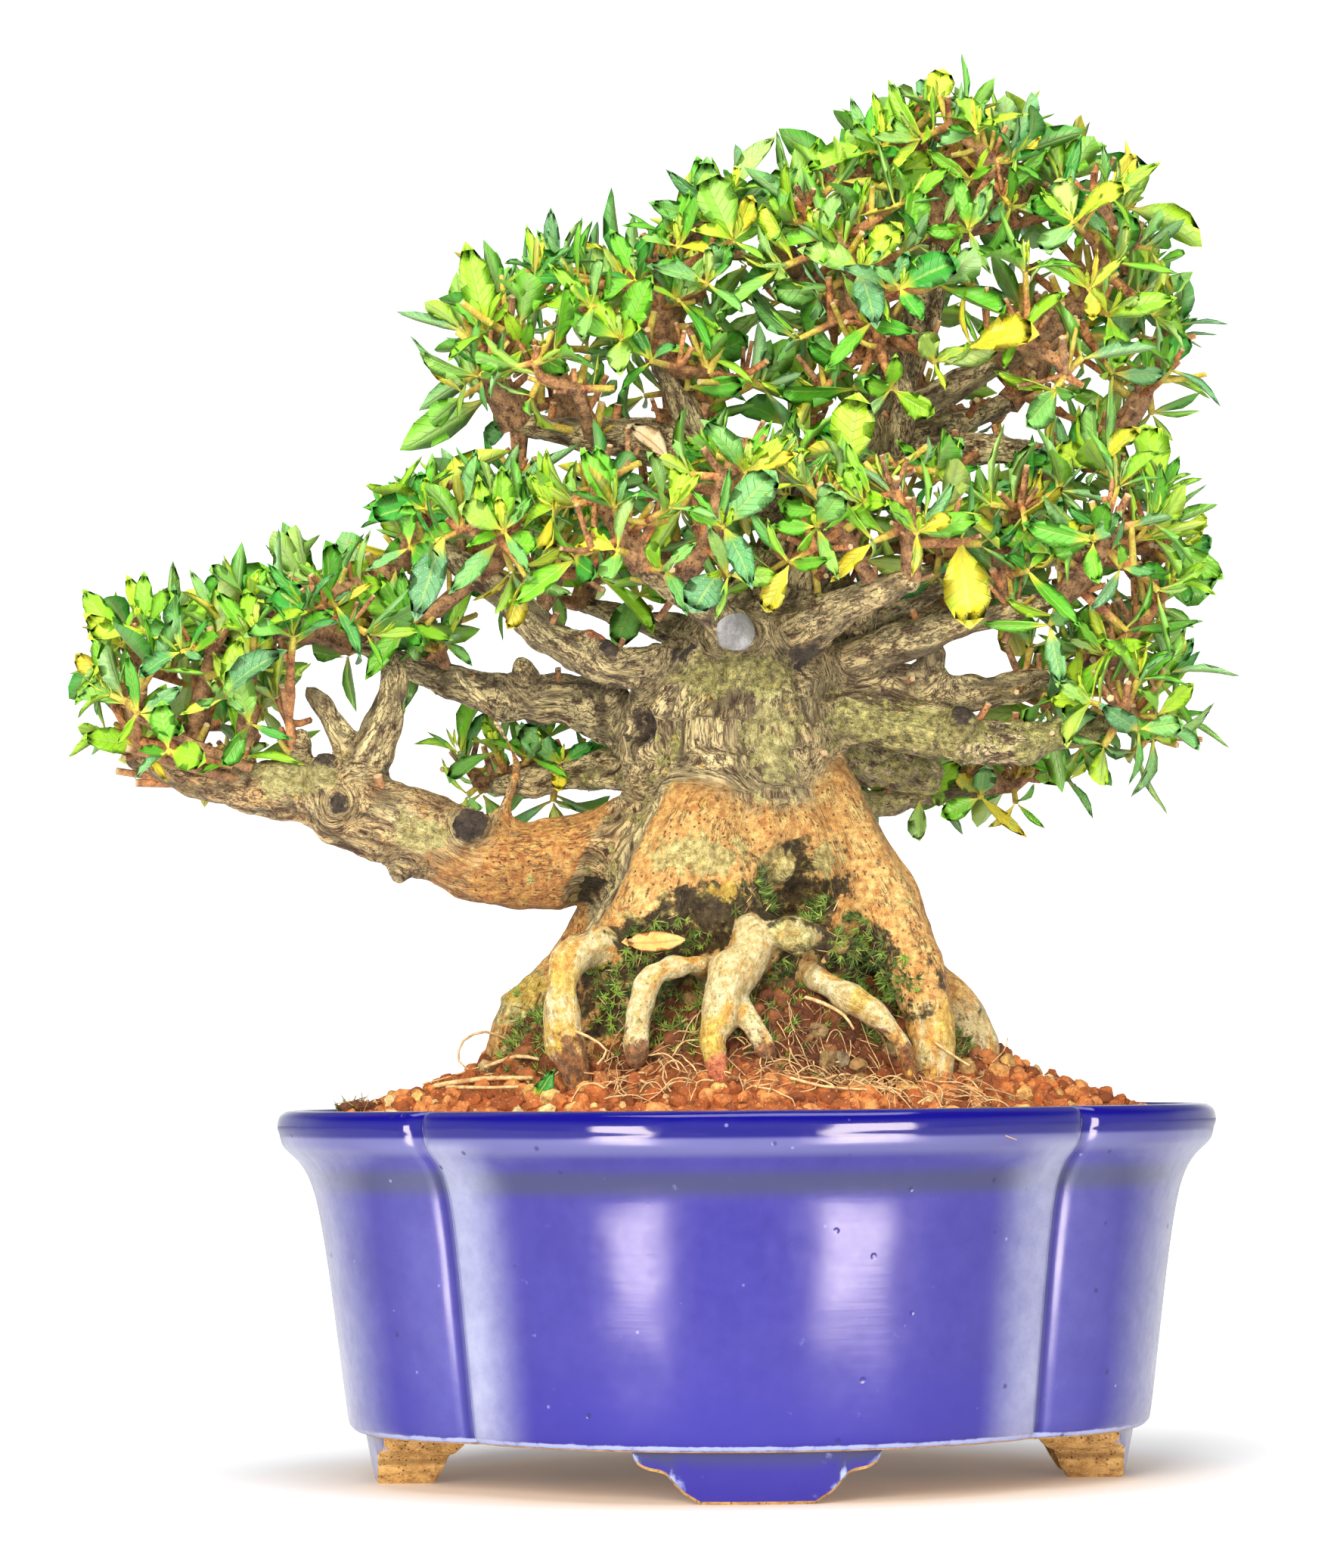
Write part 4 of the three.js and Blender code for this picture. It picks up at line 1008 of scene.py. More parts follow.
LIMBS = {
    "trunk": [
        (3, 6, 78, 30), (2, 5, 98, 31), (1, 3, 116, 33), (0, 1, 127, 34), (-1, 0, 137, 29.5),
        (-1, 0, 147, 26), (-2, 0, 157, 25.5), (-2, 0, 167, 24.5), (1, 0, 178, 21), (7, 1, 191, 15),
        (15, 3, 207, 11), (23, 5, 224, 9), (33, 5, 241, 6.5), (41, 3, 259, 4.6), (47, 0, 278, 3),
    ],
    "left_leg": [
        (-4, -7, 154, 15), (-11, -13, 138, 17), (-20, -17, 123, 15), (-27, -20, 108, 13), (-32, -22, 94, 11),
        (-34, -23, 79, 10),
    ],
    "right_leg": [
        (12, -5, 154, 12), (21, -12, 140, 12), (30, -18, 127, 10), (36, -25, 114, 7.4), (39, -30, 103, 5.6),
        (40, -33, 92, 4.6), (40, -34, 80, 4),
    ],
    "outer_right_root": [
        (20, -1, 142, 10.5), (28, -5, 130, 9), (35, -8, 117, 7.5), (44, -10, 106, 6.4), (50, -12, 96, 5.6),
        (52, -13, 80, 5),
    ],
    "outer_left_root": [
        (-24, 0, 132, 11), (-31, 2, 120, 9.6), (-38, 4, 111, 8.6), (-48, 4, 103, 8), (-52, 4, 94, 7),
        (-54, 4, 80, 6),
    ],
    "back_left_root": [(-8, 18, 124, 14), (-21, 33, 108, 10), (-30, 44, 95, 7), (-35, 50, 80, 6)],
    "back_right_root": [(12, 18, 124, 14), (20, 35, 108, 10), (25, 47, 95, 7), (27, 55, 80, 5)],
    "side_right_root": [(26, 10, 122, 11), (41, 23, 106, 7.4), (52, 31, 94, 6), (58, 36, 80, 5)],
    "arched_root": [
        (-23, -22, 117, 6), (-33, -31, 118, 4.3), (-39, -35, 114, 3.9), (-41, -38, 105, 3.8),
        (-40, -40, 96, 3.6), (-37, -42, 87, 3.4), (-35, -42, 78, 3),
    ],
    "small_arched_root": [
        (-8, -27, 112, 3), (-13, -36, 114, 2.6), (-20, -41, 111, 2.5), (-24, -43, 104, 2.4),
        (-25, -44, 92, 2.2),
    ],
    "middle_root": [
        (2, -22, 122, 7), (0, -32, 118, 5.9), (-3, -38, 111, 5.4), (-6, -42, 104, 4.4), (-8, -46, 97, 3.1),
        (-7, -49, 90, 2.8), (-5, -51, 80, 2.5),
    ],
    "middle_root_fork": [(-4, -38, 107, 3.6), (0, -43, 101, 2.8), (3, -46, 94, 2.4)],
    "bridge_root": [(1, -31, 119, 3.2), (8, -33, 121, 3.5), (15, -31, 119, 3.2), (24, -28, 116, 3.4)],
    "slanting_root": [
        (11, -18, 114, 3.6), (14, -28, 111.5, 3.1), (19, -36.5, 107.6, 3.3), (26.5, -40, 102.6, 3),
        (32, -42, 96.5, 2.5), (35, -43, 87, 2),
    ],
    "low_left_limb": [
        (-12, -2, 146, 13), (-30, -5, 139, 11.5), (-48, -8, 137, 10.2), (-61, -10, 139, 10),
        (-73, -11, 144, 10), (-85, -11, 149, 9.2), (-96, -9, 153, 8.2), (-107, -8, 154, 6.4),
        (-117, -6, 155, 4.8), (-128, -5, 158, 3.4), (-137, -3, 162, 2.4),
    ],
    "upper_left_limb": [
        (-10, 5, 160, 9), (-24, 8, 168, 7.6), (-36, 11, 174, 6.4), (-47, 13, 175, 5.8), (-58, 13, 177, 5),
        (-68, 12, 180, 4.2), (-78, 10, 184, 3.2), (-88, 8, 188, 2.4),
    ],
    "back_left_limb": [(-16, 10, 158, 6), (-32, 22, 160, 4.5), (-46, 30, 158, 3.6), (-57, 34, 157, 2.6)],
    "mid_left_limb": [
        (-2, -6, 180, 9), (-15, -9, 180, 6.6), (-30, -11, 181, 5.4), (-44, -12, 188, 4.5),
        (-53, -12, 197, 3.6), (-62, -12, 203, 3), (-70, -11, 210, 2.2),
    ],
    "low_right_limb": [
        (8, -4, 170, 10), (22, -8, 169, 7.6), (33, -10, 167, 6.3), (44, -12, 165, 6), (55, -12, 163, 5.4),
        (64, -12, 163, 4.4), (74, -11, 165, 3.4), (84, -10, 168, 2.4),
    ],
    "upper_right_limb": [
        (12, 0, 178, 9), (28, -4, 178, 5.6), (42, -6, 175, 4.6), (56, -6, 175, 4), (70, -5, 178, 3.2),
        (82, -3, 184, 2.4),
    ],
    "back_right_limb": [
        (12, 10, 153, 6), (26, 22, 151, 4.2), (38, 28, 153, 3.4), (52, 32, 155, 2.6), (60, 34, 156, 2),
    ],
    "mossy_stub": [(18, 8, 163, 6), (32, 15, 160, 4.6), (44, 19, 157, 4)],
    "top_left_limb": [
        (16, 3, 214, 8), (4, -1, 224, 6.5), (-10, -5, 230, 5.6), (-22, -6, 233, 4.6), (-36, -6, 234, 3.6),
        (-50, -4, 236, 2.4),
    ],
    "rising_left_limb": [(-6, -5, 229, 4.6), (-13, -9, 239, 3.8), (-18, -10, 249, 2.6)],
    "top_back_left_limb": [(12, 5, 218, 6), (-6, 16, 229, 4.4), (-24, 22, 234, 3.2), (-38, 24, 238, 2.2)],
    "top_right_limb": [
        (22, 4, 222, 8), (36, 0, 228, 5), (52, -3, 230, 3.8), (66, -4, 229, 2.8), (78, -4, 227, 2),
    ],
    "rising_right_limb": [(30, 2, 236, 4.6), (46, -6, 242, 3.4), (58, -9, 249, 2.6), (67, -10, 255, 2)],
    "front_riser": [(35, -3, 230, 3.8), (36, -12, 241, 3), (33, -15, 252, 2.2)],
    "top_back_right_limb": [(26, 6, 226, 6), (38, 18, 234, 4.2), (52, 26, 240, 3), (63, 29, 245, 2)],
    "front_left_limb": [(2, -8, 182, 8), (-6, -24, 190, 4.8), (-14, -34, 195, 3.4), (-22, -40, 199, 2.2)],
    "front_right_limb": [(10, -8, 184, 8), (17, -26, 189, 4.8), (26, -36, 193, 3.4), (36, -42, 196, 2.2)],
    "side_right_limb": [
        (16, 2, 192, 8), (34, 3, 198, 5), (54, 3, 203, 3.8), (74, 2, 206, 2.8), (88, 0, 208, 2),
    ],
    "near_right_limb": [(20, -6, 181, 5), (40, -18, 186, 4), (56, -24, 190, 3), (70, -26, 194, 2.1)],
    "mid_back_left_limb": [(2, 8, 182, 8), (-10, 26, 190, 4.8), (-24, 37, 196, 3.2), (-37, 43, 200, 2.1)],
    "mid_back_right_limb": [(12, 8, 184, 8), (26, 28, 190, 4.8), (40, 39, 196, 3.2), (53, 44, 200, 2.1)],
}


def carried_sides(ways):
    """For each way along a line, one that is square to it, carried on without twisting."""
    side = unit(np.cross(ANY_SIDE, ways[0]))
    sides = []
    for way in ways:
        side = unit(side - way * (side @ way))
        sides.append(side)
    return np.array(sides)


class Limb:
    """A limb's smooth line, with a frame carried along it without twisting."""

    def __init__(self, points):
        self.line = curve_through(points, 2)
        steps = np.diff(self.line[:, :3], axis=0)
        lengths = norm(steps, axis=1)
        self.along = np.concatenate([[0], np.cumsum(lengths)])
        self.ways = np.vstack([steps, steps[-1:]]) / np.append(lengths, lengths[-1])[:, None]
        self.sides = carried_sides(self.ways)

    def nearest(self, points):
        """Each point's gap to the limb's surface, radius there, and its place about and along the limb."""
        start, step = self.line[:-1], np.diff(self.line, axis=0)
        found = []
        for part in np.array_split(points, max(1, len(points) // 8000)):
            ways = part[:, None, :] - start[None, :, :3]
            share = np.einsum("nmk,mk->nm", ways, step[:, :3]) / (step[:, :3]**2).sum(1)
            share = np.clip(share, 0, 1)
            radius = start[:, 3] + share * step[:, 3]
            off = ways - share[..., None] * step[:, :3]
            gap = norm(off, axis=2) - radius
            rows = np.arange(len(part))
            k = gap.argmin(1)
            share, off = share[rows, k], off[rows, k]
            side = self.sides[k] + (self.sides[k + 1] - self.sides[k]) * share[:, None]
            other = np.cross(self.ways[k], side)
            along = self.along[k] + share * (self.along[k + 1] - self.along[k])
            across = np.einsum("nk,nk->n", off, side)
            beside = np.einsum("nk,nk->n", off, other)
            found.append(np.column_stack([gap[rows, k], radius[rows, k], across, beside, along]))
        return np.vstack(found)


def lattice_noise(points, seed):
    """Smooth noise from -1 to 1, with features about one unit wide."""
    cell = np.floor(points).astype(np.int64)
    part = points - cell
    fade = part * part * (3 - 2 * part)
    total = np.zeros(len(points))
    for corner in np.ndindex(2, 2, 2):
        at = cell + corner
        mixed = at[:, 0] * 73856093 ^ at[:, 1] * 19349663 ^ at[:, 2] * 83492791 ^ (seed + 1) * 40503
        mixed = (mixed ^ mixed >> 13) * 1274126177 & 0xFFFFFFFF
        mixed = (mixed ^ mixed >> 16) * 668265263 & 0xFFFFFFFF
        value = (mixed >> 8 & 0xFFFF) / 32767.5 - 1
        weight = np.prod(np.where(corner, fade, 1 - fade), axis=1)
        total += value * weight
    return total


def spot(points, centre, radii, strength=1):
    """Half way at an ellipsoid's skin, more inside it, and nothing far outside."""
    reach = norm((points - centre) / np.asarray(radii, float), axis=1)
    return np.clip(1 - reach * reach / 2, 0, 1) * strength


def strongest(points, *spots):
    """The strongest of the spots at each point, each a mask or [centre, radii, strength]."""
    return np.max([s if isinstance(s, np.ndarray) else spot(points, *s) for s in spots], axis=0)


def dent(points, centre, radii):
    """1 inside an ellipsoid, easing to 0 just outside."""
    reach = norm((points - centre) / np.asarray(radii, float), axis=1)
    return smooth(1.3, 0.7, reach)


def seam(points, line, width):
    """How near points on the front lie to a line of [x, z], easing to 0 at its width."""
    line = np.array(line, float)
    flat = points[:, [0, 2]]
    gaps = []
    for start, end in zip(line, line[1:]):
        step = end - start
        share = np.clip((flat - start) @ step / (step @ step), 0, 1)
        gaps.append(norm(flat - start - share[:, None] * step, axis=1))
    return smooth(width, 0, np.min(gaps, axis=0)) * smooth(-2, -9, points[:, 1])


def spread_over(mesh, values, passes, share):
    """Values at the vertices, moved towards their neighbours' mean a number of times."""
    ends = np.empty(len(mesh.edges) * 2, np.int32)
    mesh.edges.foreach_get("vertices", ends)
    ends = ends.reshape(-1, 2)
    count = np.bincount(ends.ravel(), minlength=len(values))
    for turn in range(passes):
        total = np.column_stack([
            np.bincount(ends[:, 0], values[ends[:, 1], k], len(values))
            + np.bincount(ends[:, 1], values[ends[:, 0], k], len(values))
            for k in range(values.shape[1])
        ])
        amount = share(turn) if callable(share) else share
        values = values + (total / count[:, None] - values) * amount
    return values


# How each limb's bark looks: furrowed, pale, orange and green, from 0 to 1.
BARK_LOOKS = {
    "trunk": (0, 0, 0, 0), "left_leg": (0, 0, 0.1, 0), "right_leg": (0, 0.25, 0.1, 0),
    "outer_right_root": (0, 0.3, 0.1, 0), "outer_left_root": (0.2, 0, 0.3, 0.4),
    "back_left_root": (0.2, 0.1, 0.1, 0.3), "back_right_root": (0.1, 0.2, 0.1, 0.2),
    "side_right_root": (0, 0.2, 0.2, 0), "arched_root": (0, 0.8, 0.2, 0),
    "small_arched_root": (0, 0.95, 0, 0), "middle_root": (0, 1, 0, 0.1), "middle_root_fork": (0, 0.9, 0, 0.1),
    "bridge_root": (0, 0.75, 0, 0.5), "slanting_root": (0, 0.8, 0, 0.1),
    "low_left_limb": (0.35, 0, 0.75, 0.1), "upper_left_limb": (1, 0, 0.1, 0.1),
    "mid_left_limb": (0.9, 0.1, 0.2, 0), "low_right_limb": (1, 0, 0.1, 0.6), "mossy_stub": (0.8, 0, 0, 1),
}
USUAL_BARK = (0.9, 0, 0.35, 0.1)
TRUNK_ORANGE = 0.32
# Short old stumps that stand out of the limbs, as [x, y, z, radius].
STUMPS = [
    [(-84, -8, 150, 6.5), (-84, -11, 159, 5.4), (-80, -11, 169, 4), (-78, -9, 179, 2.8), (-82, -6, 188, 1.8)],
    [(-92, -10, 153, 5), (-93, -17, 159, 3.8)], [(-84, -9, 152, 5), (-90, -9, 166, 3), (-97, -8, 176, 1.8)],
    [(-61, -12, 144, 5.5), (-61, -21.5, 145, 4.2)], [(-91, -10, 151, 5), (-90, -19, 150, 3.2)],
    [(-101, -8, 156, 4.5), (-99, -10, 165, 3)], [(-28, -8, 181, 4), (-30, -16, 184, 3)],
    [(-72, -11, 142, 7), (-76, -13, 136, 4)], [(41, -6, 176, 4), (43, -8, 184, 3.2)],
    [(47, -13, 164, 4.5), (48, -19, 168, 3.4)], [(-24, 8, 168, 5), (-30, 4, 177, 3.4)],
    [(-48, 13, 176, 4), (-50, 8, 183, 3)], [(26, -6, 190, 4), (27, -12, 197, 3)],
]
WOOD_VOXEL = 1.04


def wood_copy():
    """The solid wood with its stumps, merged and remeshed evenly."""
    mesh = frame["nodes"]["trunk"].data.copy()
    stumps = grown(lines_object("stump_lines", [np.array(s) for s in STUMPS]), TUBES, "stumps", Sides=12)
    merged = bmesh.new()
    merged.from_mesh(mesh)
    merged.from_mesh(stumps.data)
    drop(stumps)
    bmesh.ops.remove_doubles(merged, verts=merged.verts, dist=1e-6)
    merged.to_mesh(mesh)
    merged.free()
    paint(mesh)
    copy = bpy.data.objects.new("wood", mesh)
    link(copy)
    return modified(copy, "REMESH", mode="VOXEL", voxel_size=WOOD_VOXEL * MM)


def blended_bark(points, limbs):
    """Place about and along the limbs, radius, looks and furrows at points, blended over the near limbs.
    Beside it, each point's gap to the nearest limb's skin."""
    total = np.zeros(len(points))
    found = np.zeros((len(points), 10))
    clear = np.full(len(points), 9.0)
    for index, (name, limb) in enumerate(limbs.items()):
        low = (limb.line[:, :3] - limb.line[:, 3:]).min(0) - 8
        high = (limb.line[:, :3] + limb.line[:, 3:]).max(0) + 8
        near = np.flatnonzero(((points > low) & (points < high)).all(1))
        if not len(near):
            continue
        gap, radius, across, beside, along = limb.nearest(points[near]).T
        clear[near] = np.minimum(clear[near], gap)
        weight = np.exp(-np.clip(gap, -4, 9) / 1.5)
        looks = np.tile(BARK_LOOKS.get(name, USUAL_BARK), (len(near), 1)).astype(float)
        twist = 0.0 * along
        if name == "trunk":
            height = points[near, 2]
            looks[:, 0] = smooth(138, 158, height)
            looks[:, 2] = TRUNK_ORANGE
            twist = 0.028 * np.maximum(along - 62, 0)
        if name == "low_left_limb":
            looks[:, 0] = lerp(0.25, 0.85, smooth(45, 75, along))
            looks[:, 2] = 1
        c, s = np.cos(twist), np.sin(twist)
        place = np.column_stack([across * c - beside * s, across * s + beside * c, along])
        broad = lattice_noise(place / (3.4, 3.4, 17) + 31 * index, 1)
        fine = lattice_noise(place / (1.9, 1.9, 8) + 31 * index, 2)
        furrow = np.maximum(smooth(0.3, 0.02, np.abs(broad)), 0.55 * smooth(0.25, 0.02, np.abs(fine)))
        lump = lattice_noise(place / (9, 9, 20) + 31 * index, 3)
        values = np.column_stack([place, radius, looks, furrow, lump])
        found[near] += values * weight[:, None]
        total[near] += weight
    return found / np.maximum(total, 1e-9)[:, None], clear


KNOT = (-24, -15, 167)
RED_KNOT = (-32, -14, 188.5)
CUT_FACE = (-61, -23, 145)
LICHEN_KNOB = (7.5, -27, 133.5)
CRUST_KNOB = (17, -27, 136)
PALE_KNOB = (10, -33, 119.6)
HOLLOW = (11, -28, 131)
HOLLOW_RADII = (9.5, 13, 10)
# Lines of [x, z] on the front, where two swellings of the trunk meet.
LEFT_SEAM = [(-8, 178), (-19, 160), (-27.5, 143), (-34, 130.5), (-38, 124)]
MIDDLE_SEAM = [(3, 166), (1, 156), (0, 148), (0.5, 139)]
RIGHT_SEAM = [(26, 160), (30, 146), (36, 132), (44, 116), (46, 104)]
LOW_SEAM = [(-26, 121), (-14, 117), (-2, 119)]
YELLOW_PLACES = [
    ((-9, -46, 97), (3, 6, 6)), ((-49, -3, 109), (5, 12, 4)), ((-40, -38, 110), (3, 5, 4)),
    ((-5, -34, 129), (4, 8, 2.2)), ((-41, -39, 98), (2.4, 4, 5)), ((43, -32, 99), (3, 8, 6)),
    ((24, -40, 105), (2.5, 4, 2.5)),
]


def dress_wood(points, looks):
    """Masks painted by place, that cross a half at their edges."""
    y = points[:, 1]
    front = smooth(-2, -10, y)
    rooty = smooth(0.45, 0.2, looks[:, 1])
    # Wet algae-stained bark, and painted shade in the hollow, between the roots near the soil and low at the
    # back.
    wet = strongest(
        points, ((-9, -33, 124), (12, 18, 8)), ((-23, -31, 119.5), (9, 16, 4.6)),
        (HOLLOW, np.multiply(HOLLOW_RADII, 1.15)), ((9, -24, 127), (11, 20, 13), front),
        ((27, -22, 113), (8, 18, 9)), ((-2, -16, 103), (46, 26, 17), rooty),
        ((-8, -29, 112), (31, 16, 12), rooty), 0.75 * seam(points, [(-34, 131), (-39, 123), (-44, 116)], 4),
        ((0, 30, 100), (60, 30, 16), 0.55),
    ) * smooth(0.95, 0.5, looks[:, 1])
    crust = strongest(points, (LICHEN_KNOB, (4.4, 9, 5)), (CRUST_KNOB, (4.6, 8, 4.4)))
    wet *= 1 - crust
    lichen = strongest(
        points, ((6, -24, 163), (8, 22, 12), 0.7), ((-10, -32, 137), (10, 16, 4.5)),
        ((-72, -20, 143), (7, 9, 4)), (LICHEN_KNOB, (5, 9, 5.6), 1.3), (CRUST_KNOB, (4, 8, 4), 1.2),
        ((-50, -4, 106), (9, 16, 8)), (PALE_KNOB, (6, 8, 5)), ((-100, -16, 156), (9, 12, 4)),
        ((20, 30, 150), (20, 22, 14), 0.9), looks[:, 3] * 0.45,
    )
    green = strongest(
        points, ((38, -14, 166), (20, 16, 6)), ((-2, -22, 178), (14, 18, 5)), ((70, -12, 163), (12, 14, 6)),
        ((-30, 22, 140), (16, 20, 20), 0.8), 0.42 * seam(points, LEFT_SEAM, 6), looks[:, 3] * 0.42,
    )
    black = strongest(
        points, (KNOT, (4.6, 7, 5)), (CUT_FACE, (3.8, 3.4, 3.8), 1.3), ((-93, -18, 160), (3.4, 4, 2.6), 0.85),
        ((-90, -20, 150), (3, 4, 2.2), 0.85), ((48, -20, 169), (3, 3, 3), 1.1),
        ((-30, -17, 185), (2.6, 3, 2.6), 1.2), ((-14, -20, 184), (4, 8, 3)),
        ((14, -22, 181), (6, 8, 3.5), 0.9),
    )
    red = strongest(points, (RED_KNOT, (3.2, 6, 3.2)), ((-6, -50, 90), (4, 5, 4)))
    return {
        "wet": wet, "lichen": lichen, "green": green, "black": black, "red": red,
        "yellow": strongest(points, *YELLOW_PLACES),
    }


def bark_material():
    bark = Finish("azalea_bark", (0.5, 0.28, 0.11), Roughness=0.7)
    mix, times, coat, ragged = bark.mix, bark.times, bark.coat, bark.ragged
    inputs = {"Vector": bark.read("bark_place", "Vector"), "Scale": (1, 1, 0.3)}
    along = bark.node("Mapping", inputs)
    clouds, scales, streaks = bark.clouds(9, 2.8), bark.clouds(1.5, 4.2), bark.clouds(1.5, 5, along)

    def scaly(dark, light):
        return mix(scales, dark, light)

    tan = scaly((0.42, 0.13, 0.02), (0.96, 0.48, 0.12))
    bark.colour = mix(clouds, tan, scaly((0.58, 0.26, 0.05), (1, 0.78, 0.3)))
    coat(bark.read("orange"), scaly((0.5, 0.15, 0.03), (1, 0.56, 0.15)))
    cream = scaly((0.5, 0.26, 0.05), (0.98, 0.76, 0.32))
    cream = mix(clouds, cream, scaly((0.74, 0.6, 0.2), (1, 0.96, 0.68)))
    gold = times(ragged(0.45, 6, 2.6, 0.1, along), 0.9)
    pale = ragged("pale", 5, 1.1, 0.2)
    coat(pale, mix(gold, cream, scaly((0.55, 0.18, 0.02), (0.95, 0.55, 0.08))))
    flecks, short = bark.specks(1.3, 0.45), bark.specks(1, 0.35, along)
    specks = bark.maths("MAXIMUM", times(flecks, 0.9), times(short, 0.85))
    coat(specks, (0.07, 0.025, 0.01), bark.scaled(pale, -0.45, 1))
    coat(ragged("foot", 4, 1.8, 0.12), scaly((0.03, 0.012, 0.008), (0.42, 0.13, 0.03)), 0.9)

    tone = times(streaks, 1.35, clamp=True)
    rust = mix(tone, (0.16, 0.05, 0.016), (1, 0.55, 0.2))
    grey = mix(times(clouds, bark.read("orange")), mix(tone, (0.11, 0.05, 0.018), (1, 0.82, 0.4)), rust)
    coat(ragged("rough", 7, 1.2, 0.18), grey)

    from_crack = bark.maths("ABSOLUTE", bark.maths("SUBTRACT", bark.grain(0.9, 3, place=along), 0.5))
    crack_share = times(bark.ease(bark.grain(0.2, 1), 0.46, 0.6), 0.8)
    cracks = times(bark.ease(from_crack, 0.045, 0.01), bark.maths("MAXIMUM", crack_share, bark.read("rough")))
    cracks = times(cracks, bark.scaled(pale, -0.75, 1))
    furrow = times(bark.read("furrow"), bark.read("rough"))
    coat(bark.maths("MAXIMUM", cracks, furrow), (0.035, 0.018, 0.009), 0.85)

    coat(ragged("lichen", 3.6, 3), scaly((0.22, 0.17, 0.035), (0.84, 0.76, 0.3)), 0.8)
    coat(ragged("green", 3.6, 3), scaly((0.08, 0.07, 0.012), (0.74, 0.66, 0.2)), 0.8)
    # Near-black with olive: wet algae, and painted shade in the hollow and between the roots.
    algae_and_shade_colour, olive_share = scaly((0.003, 0.003, 0.002), (0.06, 0.045, 0.016)), ragged(0.3, 3.4, 2.6, 0.1)
    algae_and_shade_colour = mix(times(olive_share, 0.85), algae_and_shade_colour, scaly((0.05, 0.04, 0.01), (0.42, 0.33, 0.08)))
    wet = ragged("wet", 5, 2.2, 0.1)
    coat(wet, algae_and_shade_colour, 0.95)
    coat(ragged("yellow", 2.6, 3, 0.2), scaly((0.5, 0.24, 0.02), (0.98, 0.74, 0.13)), 0.75)
    coat(ragged("red", 3, 1.6, 0.15), scaly((0.3, 0.05, 0.02), (0.88, 0.3, 0.12)))
    coat(ragged("black", 2.2, 1.8, 0.15), scaly((0.009, 0.007, 0.006), (0.1, 0.065, 0.04)))
    fine = times(bark.grain(1.5, 5, 0.7, along), 0.9)
    bark.link(bark.scaled(wet, -0.2, bark.scaled(scales, 0.2, 0.55)), "Roughness")
    return bark.done(bark.scaled(scales, 0.5, bark.scaled(cracks, -0.8, fine)), 0.9, 0.9)


def make_wood():
    wood = wood_copy()
    mesh = wood.data
    limbs = {name: Limb(points) for name, points in LIMBS.items()}
    limbs.update({f"stump_{i}": Limb(points) for i, points in enumerate(STUMPS)})
    points = millimetres(mesh)
    radius = blended_bark(points, limbs)[0][:, 3:4]
    loose = np.clip(radius / 10, 0.1, 1)
    shrink, swell = 0.6, -0.62
    points = spread_over(mesh, points, 16, lambda turn: swell if turn % 2 else shrink)
    points = spread_over(mesh, points, 30, 0.6 * loose)
    set_millimetres(mesh, points)
    fields, clear = blended_bark(points, limbs)
    place, radius, looks, furrow, lump = (
        fields[:, :3], fields[:, 3], fields[:, 4:8], fields[:, 8], fields[:, 9],
    )
    normals = np.empty(len(points) * 3, np.float32)
    mesh.vertex_normals.foreach_get("vector", normals)
    normals = normals.reshape(-1, 3)
    left_strip = seam(points, LEFT_SEAM, 9)
    looks[:, 0] = np.maximum(looks[:, 0], 0.9 * smooth(0.1, 0.6, left_strip))
    far_bridge = dent(points, (21, -29, 117.5), (7, 7, 4.6))
    looks[:, 1] *= 1 - 0.9 * far_bridge
    masks = dress_wood(points, looks)
    lichen = masks["lichen"]
    deep = np.clip(radius / 8, 0.3, 1)
    above_soil = smooth(86, 96, points[:, 2])

    def dented(centre, radii):
        return dent(points, centre, radii)

    def seamed(line, width):
        return seam(points, line, width)

    knobs = lattice_noise(points / 7.0, 5) + 0.5 * lattice_noise(points / 3.2, 6)
    in_hollow = dented(HOLLOW, np.multiply(HOLLOW_RADII, 1.1))
    out = np.clip(-clear, 0, 2.5) * (1 - in_hollow)
    bumpy = knobs * lerp(0.35 * deep, 0.5 + 0.9 * deep, looks[:, 0])
    out += lump * 1.1 * deep + bumpy - furrow * looks[:, 0] * 1.4 * deep
    out -= 2.6 * seamed(LEFT_SEAM, 5.5) + 2.4 * seamed(MIDDLE_SEAM, 5)
    out -= 1.8 * seamed(RIGHT_SEAM, 4) + 2.0 * seamed(LOW_SEAM, 5)
    out += 2.2 * dented(LICHEN_KNOB, (3.4, 8, 4)) * (1 + knobs)
    out += 1.1 * lattice_noise(points / (4.5, 4.5, 6), 8) * smooth(0.4, 0.7, looks[:, 1])
    out += 1.2 * dented(PALE_KNOB, (3.4, 5, 3.4)) - 1.6 * far_bridge
    out -= 3.0 * dented(KNOT, (3.4, 7, 3.6)) + 1.3 * dented(CUT_FACE, (3, 3, 3))
    out += 1.6 * (dented(KNOT, (6.5, 9, 6.5)) - dented(KNOT, (4.6, 8, 4.8)))
    out += 1.0 * dented(RED_KNOT, (3.4, 5, 3.4)) - 2.0 * dented(RED_KNOT, (1.5, 5, 1.5))
    out += 1.2 * np.maximum(lattice_noise(points / 2.6, 7), 0) * smooth(0.45, 0.7, lichen)
    points = points + normals * (out * above_soil)[:, None]
    set_millimetres(mesh, points)
    rooty = smooth(0.15, 0.4, looks[:, 1])
    foot = np.clip(1.2 - (points[:, 2] - 84) / 18, 0, 1) * rooty
    low = smooth(112, 96, points[:, 2])
    pale = np.clip(looks[:, 1] + 0.35 * low * (looks[:, 1] > 0.15), 0, 1)
    set_values(
        mesh, bark_place=place, rough=looks[:, 0], pale=pale, orange=np.clip(looks[:, 2], 0, 1),
        furrow=furrow, foot=foot, **masks,
    )
    paint(mesh, bark_material())
    wood.name = mesh.name = "wood"
    shade(wood)
    finish_piece(wood, "bark", "trunk")
    return wood


WOOD = make_wood()


# Crown: pads of shoots, as [centre, radii, number of shoots, how low they start]

